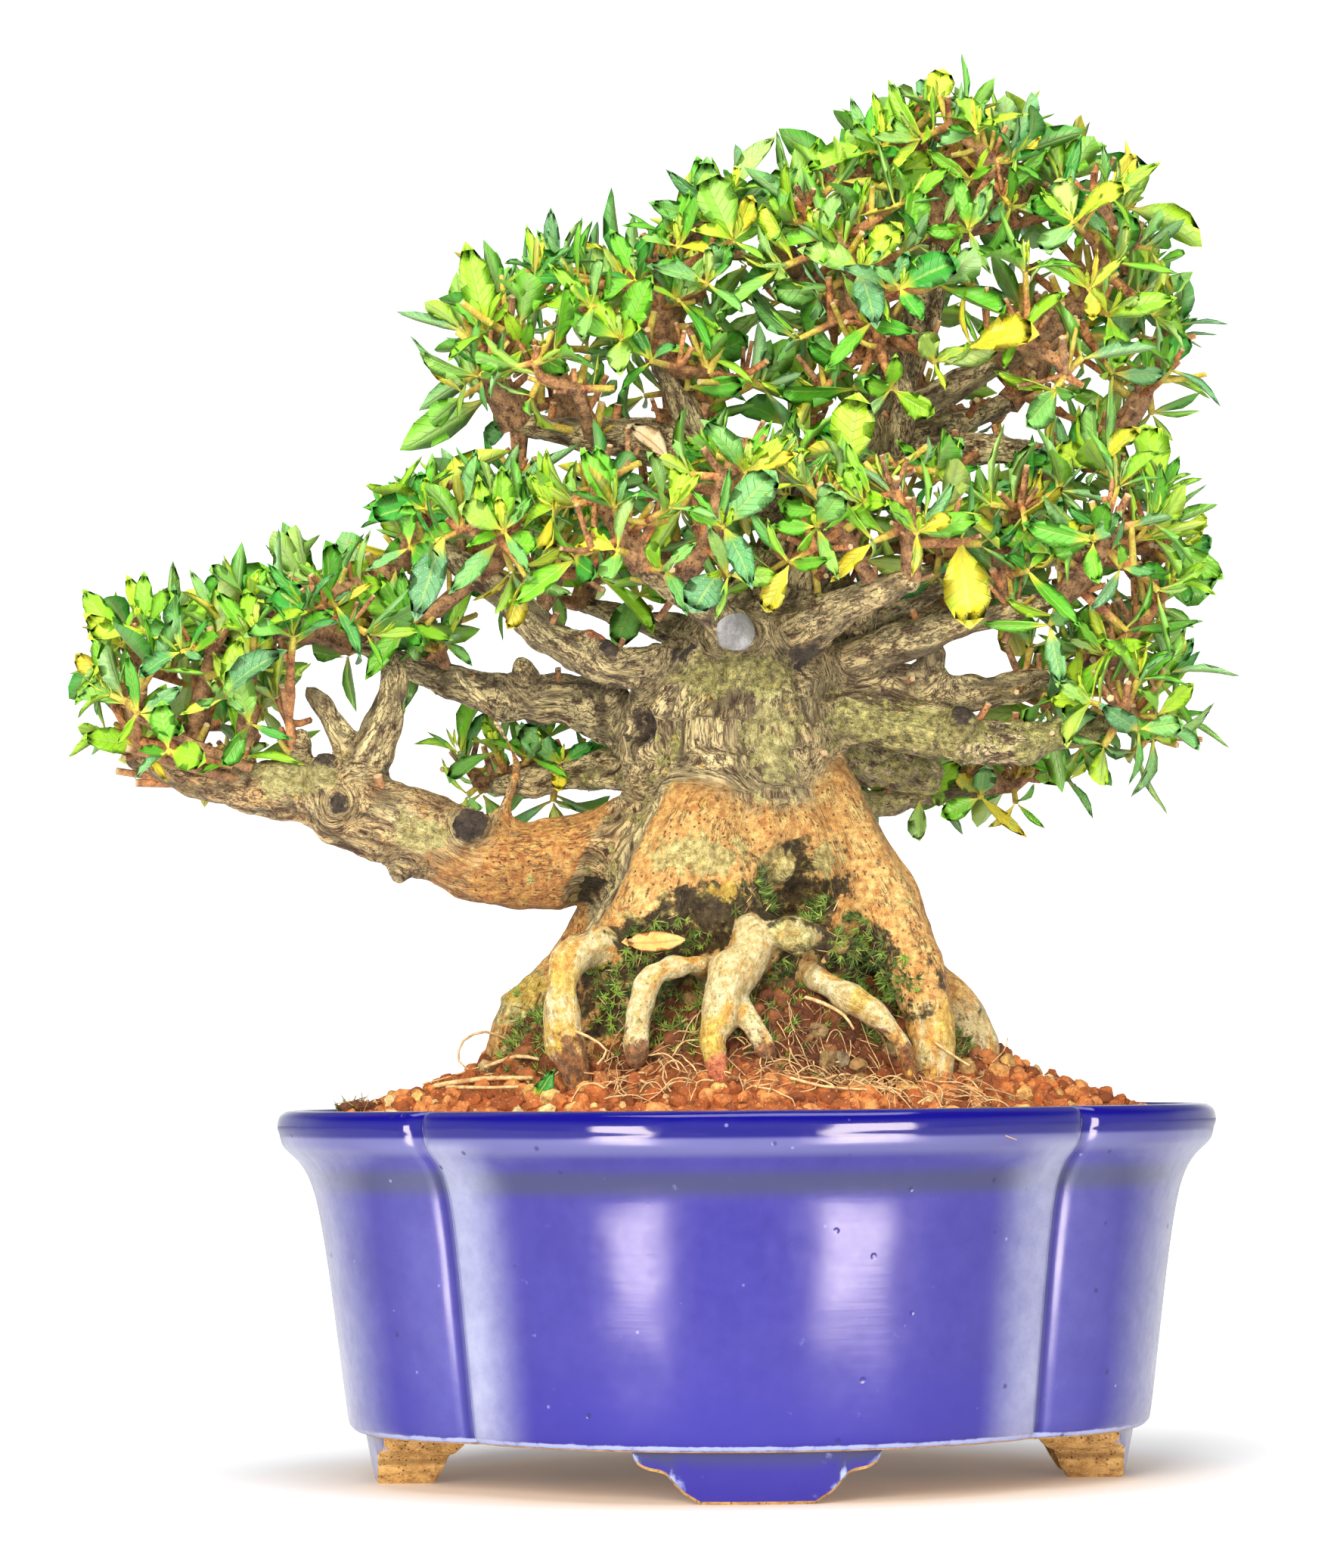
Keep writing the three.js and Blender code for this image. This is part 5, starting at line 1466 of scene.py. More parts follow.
PADS = [
    ((50, 2, 257), (50, 44, 48), 120, -0.45), ((-34, -2, 250), (32, 34, 25), 56, -0.5),
    ((-60, -8, 208), (19, 30, 15), 28, -0.4), ((5, -30, 206), (64, 24, 20), 60, -0.5),
    ((77, -6, 203), (21, 40, 28), 50, -0.8), ((83, -4, 171), (15, 28, 15), 22, -0.8),
    ((-124, -4, 175), (22, 25, 19), 36, -0.8), ((-95, -2, 187), (28, 30, 15), 36, -0.1),
    ((10, 34, 206), (70, 24, 22), 40, -0.4), ((-52, 36, 160), (18, 14, 10), 10, -0.8),
    ((52, 34, 157), (26, 12, 8), 12, -0.8), ((6, 0, 266), (30, 34, 24), 36, -0.1),
    ((47, -12, 292), (20, 18, 14), 16, 0.1),
]
GROWTH_STEP = 4
TWIG_TIP_RADIUS = 0.75
# Shoots that point lower than this bear few leaves.
LEAFY_FROM = -0.1
# Where bare red twigs fan out from the end of the low left limb.
LEFT_FAN = np.array([-108, -16, 154])
PIPE_POWER = 2.2
# Each region's limbs, with how many sprays one bears and the share of its points where they start.
REGIONS = {
    "left": {
        "low_left_limb": (5, 0.5), "upper_left_limb": (2, 0.7), "back_left_limb": (1, 1),
        "mid_left_limb": (3, 0.55),
    },
    "top": {
        "trunk": (4, 0.72), "top_left_limb": (3, 0.5), "rising_left_limb": (1, 1),
        "top_back_left_limb": (2, 0.7), "top_right_limb": (3, 0.55), "rising_right_limb": (2, 0.7),
        "front_riser": (1, 1), "top_back_right_limb": (2, 0.7),
    },
    "middle": {
        "front_left_limb": (2, 0.75), "front_right_limb": (2, 0.75), "side_right_limb": (3, 0.55),
        "near_right_limb": (2, 0.75), "mid_back_left_limb": (1, 0.75), "mid_back_right_limb": (1, 0.75),
    },
    "right": {
        "low_right_limb": (2, 0.75), "upper_right_limb": (2, 0.7), "back_right_limb": (1, 1),
    },
}


def shoot_ends(centre, radii, count, lowest, seed):
    """Ends of a pad's shoots and their ways out, spread evenly: each is the furthest of a few draws."""
    draw = stream(seed)
    ends, ways = [], []
    while len(ends) < count:
        best_gap = -1
        for _ in range(12):
            height = lerp(lowest, 1, draw())
            angle = 2 * pi * draw()
            flat = sqrt(1 - height * height)
            share = 0.8 + 0.2 * draw()
            way = np.array([flat * cos(angle), flat * sin(angle), height])
            end = centre + radii * way * share
            gap = norm(np.array(ends) - end, axis=1).min() if ends else 1e9
            if gap > best_gap:
                best_gap, best = gap, (end, way)
        ends.append(best[0])
        ways.append(best[1])
    return zip(ends, ways)


def crown_shoots():
    """Shoots of the whole crown, without those that would lie deep inside another pad."""
    shoots = []
    for p, (centre, radii, count, lowest) in enumerate(PADS):
        others = [pad for pad in PADS if pad[0] != centre]
        for end, way in shoot_ends(np.array(centre), np.array(radii), count, lowest, p + 1):
            reach = [(((end - c) / (np.array(r) * 0.7))**2).sum() for c, r, _, _ in others]
            if min(reach) >= 1:
                shoots.append((end, way))
    return shoots


def spray_roots():
    """Where each spray leaves its limb, with the limb's name."""
    bearing = {name: sprays for limbs in REGIONS.values() for name, sprays in limbs.items()}
    roots = []
    for name, points in LIMBS.items():
        sprays, first = bearing.get(name, (0, 1))
        last = len(points) - 1
        for i in range(sprays):
            share = 1 if sprays == 1 else lerp(first, 1, i / (sprays - 1))
            at = min(share * last, last - 1e-6)
            k = int(at)
            point = lerp(np.array(points[k], float), np.array(points[k + 1], float), at - k)
            roots.append((name, point[:3]))
    return roots


class Twigs:
    """Twigs grown from the limbs towards the shoot ends, each end pulling the nearest twig."""

    def __init__(self, roots, shoots):
        self.at = [point for _, point in roots]
        self.parent = [-1] * len(roots)
        self.root = list(range(len(roots)))
        self.shoot = [-1] * len(roots)
        self.ends = np.array([end for end, _ in shoots])
        self.near = np.zeros(len(shoots), int)
        self.gap = np.full(len(shoots), 1e9)
        self.grow()

    def add(self, point, parent, shoot=-1):
        self.at.append(point)
        self.parent.append(parent)
        self.root.append(self.root[parent])
        self.shoot.append(shoot)

    def measure(self, waiting, first):
        new = np.array(self.at[first:])
        gaps = norm(self.ends[waiting][:, None] - new[None], axis=2)
        best = gaps.argmin(1)
        for w, k, gap in zip(waiting, best, gaps.min(1)):
            if gap < self.gap[w]:
                self.gap[w], self.near[w] = gap, first + k

    def grow(self):
        waiting = list(range(len(self.ends)))
        before = self.gap.copy()
        self.measure(waiting, 0)
        while waiting:
            pulls = {}
            for w in waiting:
                n = self.near[w]
                pulls[n] = pulls.get(n, 0) + (self.ends[w] - self.at[n]) / self.gap[w]
            first = len(self.at)
            for n in sorted(pulls):
                size = max(norm(pulls[n]), 1e-6)
                self.add(self.at[n] + pulls[n] / size * GROWTH_STEP, n)
            self.measure(waiting, first)
            for w in reversed(list(waiting)):
                closer = before[w] - self.gap[w] > 0.4
                before[w] = self.gap[w]
                if not (closer and self.gap[w] > GROWTH_STEP * 1.5):
                    self.reach(w)
                    waiting.remove(w)

    def reach(self, w):
        """Goes straight from the nearest twig to the shoot's end."""
        parent = int(self.near[w])
        start = self.at[parent]
        steps = max(1, round(self.gap[w] / GROWTH_STEP))
        for i in range(1, steps + 1):
            self.add(lerp(start, self.ends[w], i / steps), parent, w if i == steps else -1)
            parent = len(self.at) - 1

    def lines(self):
        """Each shoot as a line from where it leaves another twig or the limb, with root and shoot."""
        count = len(self.at)
        flow = np.array([shoot >= 0 for shoot in self.shoot], int)
        for n in range(count - 1, -1, -1):
            if self.parent[n] >= 0:
                flow[self.parent[n]] += flow[n]
        radius = TWIG_TIP_RADIUS * np.maximum(flow, 1)**(1 / PIPE_POWER)
        children = [[] for _ in range(count)]
        for n in range(count):
            if self.parent[n] >= 0 and flow[n]:
                children[self.parent[n]].append(n)
        for below in children:
            below.sort(key=lambda n: (-flow[n], n))
        starts = []
        for n, below in enumerate(children):
            kept = 0 if self.parent[n] < 0 or self.shoot[n] >= 0 else 1
            starts += [(n, child) for child in below[kept:]]
        lines = []
        for start, at in starts:
            line = [(*self.at[start], radius[at])]
            steps = 1
            while True:
                end = not children[at] or self.shoot[at] >= 0
                if end or steps % 2 == 0 or len(children[at]) > 1:
                    line.append((*self.at[at], radius[at]))
                if end:
                    break
                at = children[at][0]
                steps += 1
            lines.append((self.root[at], self.shoot[at], np.array(line)))
        return lines


# Half widths of a blade by its share of the length, for four kinds of leaf.
BLADE_ROWS = (0.0, 0.1, 0.28, 0.5, 0.72, 0.9)
BLADE_WIDTHS = (
    (0.02, 0.05, 0.14, 0.185, 0.155, 0.07), (0.018, 0.045, 0.115, 0.145, 0.115, 0.045),
    (0.02, 0.045, 0.15, 0.235, 0.245, 0.15), (0.018, 0.035, 0.08, 0.105, 0.085, 0.035),
)
# Rise, fall, and sideways bend of a blade.
BLADE_BENDS = ((0.05, 0.12, 0.0), (0.14, 0.34, 0.05), (0.1, 0.22, -0.07), (0.02, -0.1, 0.03))
BLADE_THICKNESS = 0.028


def leaf_shape(widths, bend, fold):
    """A closed blade one unit long: four columns above, two below, and its place across, along and side."""
    rise, fall, aside = bend
    points, places, faces = [], [], []

    def add(t, across, half, under):
        edge = abs(across)
        wave = 0.012 * sin(9 * t + 3 * across) * edge
        z = rise * t - fall * t * t + fold * half * edge**1.3 + wave - (BLADE_THICKNESS if under else 0)
        points.append((t, across * half + aside * t * t, z))
        places.append((across, t, float(under)))
        return len(points) - 1

    rows = []
    for t, half in zip(BLADE_ROWS, widths):
        top = [add(t, across, half, False) for across in (-1, -0.5, 0, 0.5, 1)]
        rows.append((top, add(t, 0, half, True)))
    tip = add(1.0, 0, 0.01, False)
    for (a, low_a), (b, low_b) in zip(rows, rows[1:]):
        faces += [(a[i], b[i], b[i + 1], a[i + 1])[::-1] for i in range(4)]
        faces += [(a[0], b[0], low_b, low_a), (low_a, low_b, b[4], a[4])]
    last, low = rows[-1]
    faces += [(last[i + 1], last[i], tip) for i in range(4)]
    faces += [(last[0], low, tip)[::-1], (low, last[4], tip)[::-1]]
    first, low = rows[0]
    faces.append((*first, low))
    return points, faces, places


def leaf_collection():
    shapes = [
        leaf_shape(widths, bend, 0.55 if i % 2 else 0.35)
        for widths in BLADE_WIDTHS for i, bend in enumerate(BLADE_BENDS)
    ]
    found = shape_collection("blade", [(points, faces) for points, faces, _ in shapes])
    for made, (_, _, places) in zip(found.objects, shapes):
        turn_outward(made.data)
        set_values(made.data, leaf_place=places)
    return found


def leaf_material():
    leaf = Finish("azalea_leaf", (0.16, 0.3, 0.05), Roughness=0.42, IOR=1.42)
    coat, times, ease = leaf.coat, leaf.times, leaf.ease
    found = leaf.parts(leaf.read("leaf_place", "Vector"))
    across, along = leaf.maths("ABSOLUTE", found["X"]), found["Y"]
    clouds = leaf.clouds(3, 1.8)
    leaf.colour = leaf.ramp(leaf.read("tone"), [
        (0, (0.02, 0.19, 0.03)), (0.3, (0.06, 0.385, 0.034)), (0.58, (0.26, 0.67, 0.034)),
        (0.82, (0.58, 0.86, 0.04)), (1, (0.88, 0.96, 0.07)),
    ])
    darker = leaf.mix(1, leaf.colour, (0.5, 0.7, 0.46), "MULTIPLY")
    coat(clouds, darker, 0.7)
    # Painted sheen with dust: a grey-green tone and pale specks on some leaves, for the gloss of light on
    # them and for dust.
    dusty = leaf.read("dusty")
    coat(dusty, (0.22, 0.42, 0.22), leaf.scaled(clouds, 0.5, 0.4))
    coat(leaf.specks(0.5, 0.4), (0.62, 0.78, 0.55), dusty)
    coat(leaf.ragged("gold", 6, 1.2, 0.25), (0.82, 0.62, 0.03))
    stripe = leaf.scaled(along, 8, times(across, -1.7))
    vein = ease(leaf.maths("PINGPONG", stripe, 0.5), 0.09, 0)
    coat(vein, darker, 0.5)
    rib = times(ease(across, 0.13, 0.03), ease(along, 1, 0.75))
    coat(rib, (0.42, 0.56, 0.12), 0.5)
    coat(ease(along, 0.3, 0.05), (0.74, 0.68, 0.06), 0.85)
    coat(found["Z"], (0.38, 0.46, 0.22), 0.45)
    coat(ease(along, 0.97, 1), (0.36, 0.17, 0.04))
    ridges = leaf.scaled(rib, -0.6, times(vein, -0.5))
    return leaf.done(leaf.scaled(leaf.grain(2.2), 0.4, ridges), 0.35, 0.6)


def twig_material():
    twig = Finish("azalea_twig", (0.25, 0.1, 0.05), Roughness=0.8)
    clouds = twig.ground(2.6, 4, (0.24, 0.05, 0.014), (1, 0.42, 0.13))
    twig.coat(twig.read("old"), twig.mix(clouds, (0.09, 0.032, 0.014), (0.68, 0.36, 0.15)))
    twig.coat(twig.specks(1.2, 0.4), (0.05, 0.018, 0.01), 0.75)
    fresh = twig.mix(clouds, (0.62, 0.36, 0.03), (0.95, 0.8, 0.14))
    twig.coat(twig.ease(twig.read("young"), 0.3, 0.8), fresh)
    twig.coat(twig.ease(twig.read("cut"), 0.9, 1), (0.85, 0.6, 0.32))
    return twig.done(twig.grain(1.1, 5, 0.7), 0.9, 0.9)


# Single leaves that stand out on the front: region, x and z of the base, way, length, width, kind, tone, gold
# and dust with painted sheen.
LONE_LEAVES = [
    ("middle", 45, 192, (0.25, -0.2, -1), 19, 1.1, 9, 0.85, 0.62, 0),
    ("top", -23, 218, (-0.8, -0.3, 0.5), 14, 1.3, 8, 0.05, 0, 0.9),
    ("middle", 24, 220, (-0.05, -0.3, 1), 18, 1.1, 8, 0.8, 0, 0),
    ("left", -62, 199, (-0.8, -0.3, -0.7), 21, 1.0, 0, 0.1, 0, 1),
    ("top", -57, 256, (-0.15, -0.1, 1), 19, 1.1, 1, 0.7, 0, 0),
    ("top", -8, 276, (0.1, -0.2, 1), 16, 1.2, 8, 0.65, 0, 0.2),
    ("top", 47, 246, (1, -0.2, 0.3), 16, 1.2, 9, 0.9, 0.7, 0),
    ("top", 20, 262, (0.8, -0.3, -0.6), 17, 1.1, 0, 0.15, 0, 0.9),
    ("middle", -8, 196, (-0.4, -0.5, -0.8), 14, 1.25, 8, 0.1, 0, 0.9),
    ("left", -118, 178, (0.9, -0.3, 0.1), 19, 1.0, 1, 0.1, 0, 0.8),
]
# Where no leaf hides the dry one that is caught among the twigs: x, z and how far round it.
CAUGHT_X, CAUGHT_Z, CAUGHT_CLEAR = -19, 232, 13


def lone_leaf(rows, x, z, way, length, width, *looks):
    """A leaf that grows where the nearest front leaf does and lies over the given place, facing front."""
    base = min((row[0] for row in rows), key=lambda p: (p[0] - x)**2 + (p[2] - z)**2 + 0.2 * (p[1] + 45)**2)
    along = unit((x, base[1] - 3, z) + unit(np.array(way, float)) * length * 0.6 - base)
    upper = unit(np.array([0, -0.9, 0.45]) - along * (along @ (0, -0.9, 0.45)))
    return (base, (along, np.cross(upper, along), upper), length, width, *looks)


def leaf_rows(shoot, way, line, draw):
    """The leaves at the end of a twig, each [base, axes, length, width, kind, tone, gold, dust with painted
    sheen].
    """
    steps = np.diff(line[:, :3], axis=0)
    ways = steps / norm(steps, axis=1)[:, None]
    side = carried_sides(ways)[-1]
    axis = unit(ways[-1] * 0.75 + way * 0.15 + np.array([0, 0, 0.25]))
    side = unit(side - axis * (side @ axis))
    other = np.cross(axis, side)
    end = line[-1, :3]
    shaped = stream(1000 + shoot)
    leaves = []
    for i in range(3):
        tilt, length = 0.85 + 0.55 * shaped(), 13 + 8 * shaped() * shaped()
        length *= lerp(0.6, 1.12, draw()**1.5)
        leaves.append((2 * pi * i / 3, tilt, length, 0.9 + 0.3 * shaped(), 0.3))
        shaped()
    turn = draw() * ROUND
    for _ in range(3):
        turn += NEXT_TURN + 0.4 * draw()
        tilt, length = lerp(0.45, 1.25, draw()), lerp(7.5, 15.5, draw())
        leaves.append((turn, tilt, length, lerp(0.75, 1.15, draw()), lerp(-5, 1, draw())))
    for _ in range(2):
        turn += 2.0
        leaves.append((turn, lerp(0.1, 0.45, draw()), lerp(3.5, 8, draw()), 0.75, 1.4))
    if way[2] < LEAFY_FROM:
        leaves = leaves[:4]
    mood = draw()
    rows = []
    for turn, tilt, length, width, lift in leaves:
        outward = turned(side, other, turn)
        x = turned(axis, outward, tilt)
        if lift != 0.3:
            x = unit(x + (0, 0, 0.55))
        z = unit(axis - x * (axis @ x))
        roll = (draw() - 0.5) * 0.5
        y = np.cross(z, x)
        y, z = y * cos(roll) + z * sin(roll), z * cos(roll) - y * sin(roll)
        base = end + outward * 0.55 + (axis if lift > 0 else ways[-1]) * lift
        tone = np.clip(0.1 + 0.5 * mood + 0.45 * draw() + 0.45 * (lift > 1), 0, 1)
        # Some leaves get dust with a painted sheen.
        dusty = (draw() < 0.35) * lerp(0.4, 1, draw())
        rows.append((base, (x, y, z), length, width, int(draw() * 16), tone, 0.62 * (draw() < 0.05), dusty))
    return rows


def make_crown():
    shoots = crown_shoots()
    roots = spray_roots()
    lines = Twigs(roots, shoots).lines()
    draw = stream(4242)
    blades = leaf_collection()
    green, twig = leaf_material(), twig_material()
    for region, limbs in REGIONS.items():
        rows, tubes, young, cut, old = [], [], [], [], []

        def add_spur(start, thick, reach, fresh, way=None):
            turn = way or (draw() - 0.5, draw() - 0.5, draw() - 0.15)
            turn = unit(np.array(turn)) * reach
            spur = [start + turn * t + np.array([0, 0, 1.5]) * t * t for t in (0, 0.5, 1)]
            tubes.append(np.column_stack([spur, [thick, thick * 0.85, thick * 0.75]]))
            young.append(np.full(3, 0.75 * fresh))
            old.append(np.full(3, draw()))
            cut.append(np.array([0, 0, 1]))

        for root, shoot, line in lines:
            if roots[root][0] not in limbs:
                continue
            rows += leaf_rows(shoot, shoots[shoot][1], line, draw)
            line = line.copy()
            for point in line[1:-1]:
                point[:3] += [(draw() - 0.5) * 0.8 for _ in range(3)]
            left = norm(line[:, :3] - line[-1, :3], axis=1)
            knotty = np.array([0.8 + 0.45 * draw() for _ in line])
            line[:, 3] *= lerp(0.95, 1.45, smooth(3, 9, left)) * knotty
            tubes.append(line)
            young.append(np.clip(1 - left / 9, 0, 1))
            old.append(np.clip((line[:, 3] - 0.7) / 1.2, 0, 1))
            cut.append(np.zeros(len(line)))
            low = shoots[shoot][1][2] < LEAFY_FROM
            for point in line[:-1]:
                if draw() > (0.9 if low else 0.55) or point[3] > 3.5:
                    continue
                for _ in range(3 if low else 2):
                    thick = min(point[3], lerp(0.7, 1.3, draw()))
                    add_spur(point[:3], thick, lerp(2.5, 12 if low else 9, draw()), draw() > 0.7)
        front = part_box("caught_leaf")[1].y / MM
        rows = [row for row in rows if row[0][1] > front or hypot(
            row[0][0] - CAUGHT_X, row[0][2] - CAUGHT_Z) > CAUGHT_CLEAR]
        rows += [lone_leaf(rows, *leaf) for place, *leaf in LONE_LEAVES if place == region]
        for name in limbs:
            trail = Limb(LIMBS[name]).line
            for point in trail[len(trail) // 3::2]:
                add_spur(point[:3], lerp(0.7, 1.6, draw()), point[3] + lerp(0, 3, draw()**2), False)
        if region == "left":
            for _ in range(14):
                start = LEFT_FAN + (-12 * draw(), 18 * draw(), 6 * draw())
                way = (-1, 0.6 * (draw() - 0.5), 0.6 * draw() - 0.1)
                add_spur(start, lerp(0.8, 1.5, draw()), lerp(14, 30, draw()), False, way)
        stems = lines_object("twig_lines", tubes, young=young, cut=cut, old=old)
        stems = grown(stems, TUBES, "twigs_" + region, Sides=5, Material=twig)
        points = mesh_object("leaf_points", [row[0] for row in rows], [])
        turns = [tuple(Matrix(row[1]).transposed().to_euler()) for row in rows]
        sizes = [(row[2] * MM, row[2] * row[3] * MM, row[2] * MM) for row in rows]
        kind, tone, gold, dusty = zip(*(row[4:] for row in rows))
        set_values(points.data, turn=turns, size=sizes, kind=kind, tone=tone, gold=gold, dusty=dusty)
        leaves = grown(points, COPIES, "leaves_" + region, Shapes=blades, Material=green)
        starts = tuple(f"spray_{limb}_" for limb in limbs)
        finish_piece(leaves, "foliage", *(name for name in frame["nodes"] if name.startswith(starts)))
        finish_piece(stems, "bark")
    drop_collection(blades)


make_crown()


# Moss, root hairs and litter round the roots

ROOT_HAIRS = 230
# Where moss grows on the wood, as [centre, radii] of a few places.
MOSS_PLACES = [
    ((1, -27, 126), (4, 12, 7)), ((16, -27, 125), (5, 12, 5)), ((-17, -30, 120), (9, 12, 4)),
    ((-27, -34, 107), (9, 16, 10)), ((7, -30, 110), (9, 14, 7)), ((23, -26, 115), (7, 12, 9)),
    ((28, -28, 107), (9, 14, 9)), ((-46, -12, 102), (8, 16, 9)), ((-10, -36, 102), (12, 12, 8)),
    ((36, -20, 98), (14, 14, 6)),
]
# Long hairs that stand out by themselves, as [x, y, z, radius].
LOOSE_HAIRS = [
    [
        (-52, -4, 97, 0.35), (-58, -8, 99.5, 0.3), (-63, -9, 97.5, 0.26), (-64, -10, 93, 0.22),
        (-60, -11, 90, 0.18),
    ],
    [(-50, -6, 93, 0.3), (-58, -11, 92, 0.25), (-66, -14, 89.5, 0.2), (-72, -15, 88, 0.15)],
    [(-40, -41, 100, 0.4), (-35, -44, 98, 0.36), (-31, -45, 95, 0.3), (-33, -46, 92, 0.3)],
    [(12, -40, 106, 0.45), (16, -44, 104.5, 0.5), (20, -46, 102, 0.4), (22, -47, 99, 0.3)],
    [(40, -38, 96, 0.4), (44, -41, 93, 0.35), (47, -43, 91, 0.3)],
    [(52, -18, 90, 0.25), (56, -22, 94, 0.2), (57, -23, 97, 0.15)],
]
STRAWS = [
    [(-69, -20, 0.7), (-58, -27, 0.6), (-47, -34, 0.5)], [(-66, -25, 0.5), (-57, -33, 0.4), (-50, -37, 0.4)],
    [(-58, -18, 0.5), (-51, -21, 0.5), (-46, -26, 0.4)], [(8, -55, 0.4), (15, -58, 0.35), (24, -57, 0.3)],
]
LITTER_LUMP = (-86, -14, 83)


def soil_at(x, y):
    return soil_height(plan_share(np.array([[x, y, 0.0]]))[0]) - 1 - soil_dip(x, y)


TUFT_FACES = ((0, 1, 2), (0, 3, 1), (1, 3, 2), (2, 3, 0))


def tuft_shapes(seed, count, blades, lean_low, lean_high, width):
    """Small rosettes of narrow three-sided blades, about one unit tall."""
    draw = stream(seed)
    shapes = []
    for _ in range(count):
        points, faces = [], []
        turn = ROUND * draw()
        for _ in range(blades):
            turn += NEXT_TURN
            lean = lerp(lean_low, lean_high, draw())
            tip = np.array([sin(lean) * cos(turn), sin(lean) * sin(turn), cos(lean)])
            across = np.array([-sin(turn), cos(turn), 0])
            under = np.cross(across, tip)
            first = len(points)
            foot = tip * 0.1
            points += [foot + across * width, foot - under * width * 0.7, foot - across * width]
            points.append(tip * lerp(0.7, 1.1, draw()))
            faces += [tuple(first + k for k in face) for face in TUFT_FACES]
        shapes.append((points, faces))
    return shapes


def fibre_shapes(seed, count):
    """Bent slivers one unit long that lie on the ground."""
    draw = stream(seed)
    shapes = []
    for _ in range(count):
        bend, rise = lerp(-0.3, 0.3, draw()), lerp(0.02, 0.2, draw())
        rings = []
        for t in (-0.5, -0.15, 0.2, 0.5):
            thick = 0.035 * (1.2 - abs(t))
            middle = np.array([t, bend * t * t, 0.05 + rise * (0.25 - t * t)])
            rings.append([
                middle + thick * np.array([0, cos(a), sin(a)]) for a in (0, 2.09, 4.19)
            ])
        points, faces = loft(rings)
        faces += [(2, 1, 0), (9, 10, 11)]
        shapes.append((list(points), faces))
    return shapes


def moss_material():
    moss = Finish("moss", (0.08, 0.16, 0.03), Roughness=0.6)
    clouds = moss.ground(5, 3, (0.01, 0.035, 0.008), (0.045, 0.1, 0.015))
    moss.coat(moss.read("tone"), moss.mix(clouds, (0.1, 0.28, 0.04), (0.5, 0.62, 0.09)))
    return moss.done(moss.grain(3), 0.2)


def litter_material():
    litter = Finish("root_litter", (0.3, 0.14, 0.06), Roughness=0.85)
    fine = litter.ground(1.6, 3, (0.03, 0.014, 0.007), (0.22, 0.07, 0.025))
    light = litter.mix(fine, (0.46, 0.2, 0.06), (0.92, 0.66, 0.3))
    litter.coat(litter.ease(litter.read("tone"), 0.25, 0.85), light)
    return litter.done(litter.grain(2, 5), 0.4, 0.8)


def make_moss():
    tufts = tuft_shapes(31, 5, 9, 0.15, 1.25, 0.075)
    fibres = fibre_shapes(32, 5)
    place = millimetres(WOOD.data)
    pale = np.empty(len(place), np.float32)
    WOOD.data.attributes["pale"].data.foreach_get("value", pale)
    free = (place[:, 2] > 86) * (pale < 0.4)
    spots = strongest(place, *MOSS_PLACES)
    patchy = smooth(-0.5, 0, lattice_noise(place / 4.0, 11))
    on_wood = smooth(0.3, 0.55, spots) * patchy * free
    strewn(WOOD, on_wood, tufts, "moss_on_wood", MOSS, 0.0012, 700000.0, (0.0014, 0.0034), 0.5, 21)
    on_wood = smooth(0.35, 0.55, spots) * free
    strewn(WOOD, on_wood, fibres, "litter_on_wood", LITTER, 0.0014, 300000.0, (0.002, 0.004), 0.8, 22)
    ground = turned_object("ground", *SOIL_TOP)
    place = millimetres(ground.data)
    zone = root_zone(place)
    patchy = smooth(-0.1, 0.4, lattice_noise(place / 5.0, 12))
    on_soil = np.clip(smooth(0.15, 0.45, strongest(place, *MOSS_PLACES)) + 0.4 * zone * patchy, 0, 1)
    strewn(ground, on_soil, tufts, "moss_on_soil", MOSS, 0.0013, 500000.0, (0.0014, 0.0034), 0.4, 23)
    strewn(ground, zone, fibres, "litter_on_soil", LITTER, 0.0013, 350000.0, (0.0024, 0.0052), 0.7, 24)
    drop(ground)


def make_root_hairs():
    draw = stream(77)
    lines, tones = [], []

    def add(points, tone):
        line = curve_through(points, 2)
        lines.append(line)
        tones.append(np.full(len(line), tone))

    for _ in range(ROOT_HAIRS):
        x, y = lerp(-32, 52, draw()), lerp(-58, -36, draw())
        way, length = ROUND * draw(), lerp(4, 15, draw())
        thick, lift = lerp(0.13, 0.3, draw()**2), lerp(0.3, 3.2, draw()**2)
        points = []
        for i in range(6):
            t = i / 5
            points.append((x, y, soil_at(x, y) + 1.4 + lift * 4 * t * (1 - t), thick * (1 - 0.5 * t)))
            way += (draw() - 0.5) * 1.5
            x, y = x + cos(way) * length / 5, y + sin(way) * length / 5
        add(points, lerp(0.35, 1, draw()))
    for line in LOOSE_HAIRS:
        add(line, 0.8)
    for line in STRAWS:
        add([(x, y, soil_at(x, y) + 2.2, radius) for x, y, radius in line], 1.0)
    hairs = lines_object("hair_lines", lines, tone=tones)
    hairs = grown(hairs, TUBES, "root_hairs", Sides=4, Material=LITTER)
    finish_piece(hairs, "bark")


def make_litter_lump():
    """A clod of dead moss that lies on the soil's left edge."""
    points, faces = crumb_shapes(8, 1, True)[0]
    points = LITTER_LUMP + np.array(points) * (4.6, 3.2, 2.2)
    lump = mesh_object("litter_lump", points, faces, [LITTER])
    set_values(lump.data, tone=np.full(len(points), 0.1))
    everywhere = np.ones(len(points))
    fibres, tufts = fibre_shapes(34, 4), tuft_shapes(35, 3, 8, 0.2, 1.1, 0.08)
    strewn(lump, everywhere, fibres, "litter_on_lump", LITTER, 0.0008, 900000.0, (0.0022, 0.0042), 1.2, 25)
    strewn(lump, everywhere * 0.4, tufts, "moss_on_lump", MOSS, 0.0014, 300000.0, (0.0012, 0.002), 0.6, 26)
    finish_piece(lump, "bark")


MOSS = moss_material()
LITTER = litter_material()
make_moss()
make_root_hairs()
make_litter_lump()


# Wound paste, the two dry leaves, the sprout on the soil and the drain screens

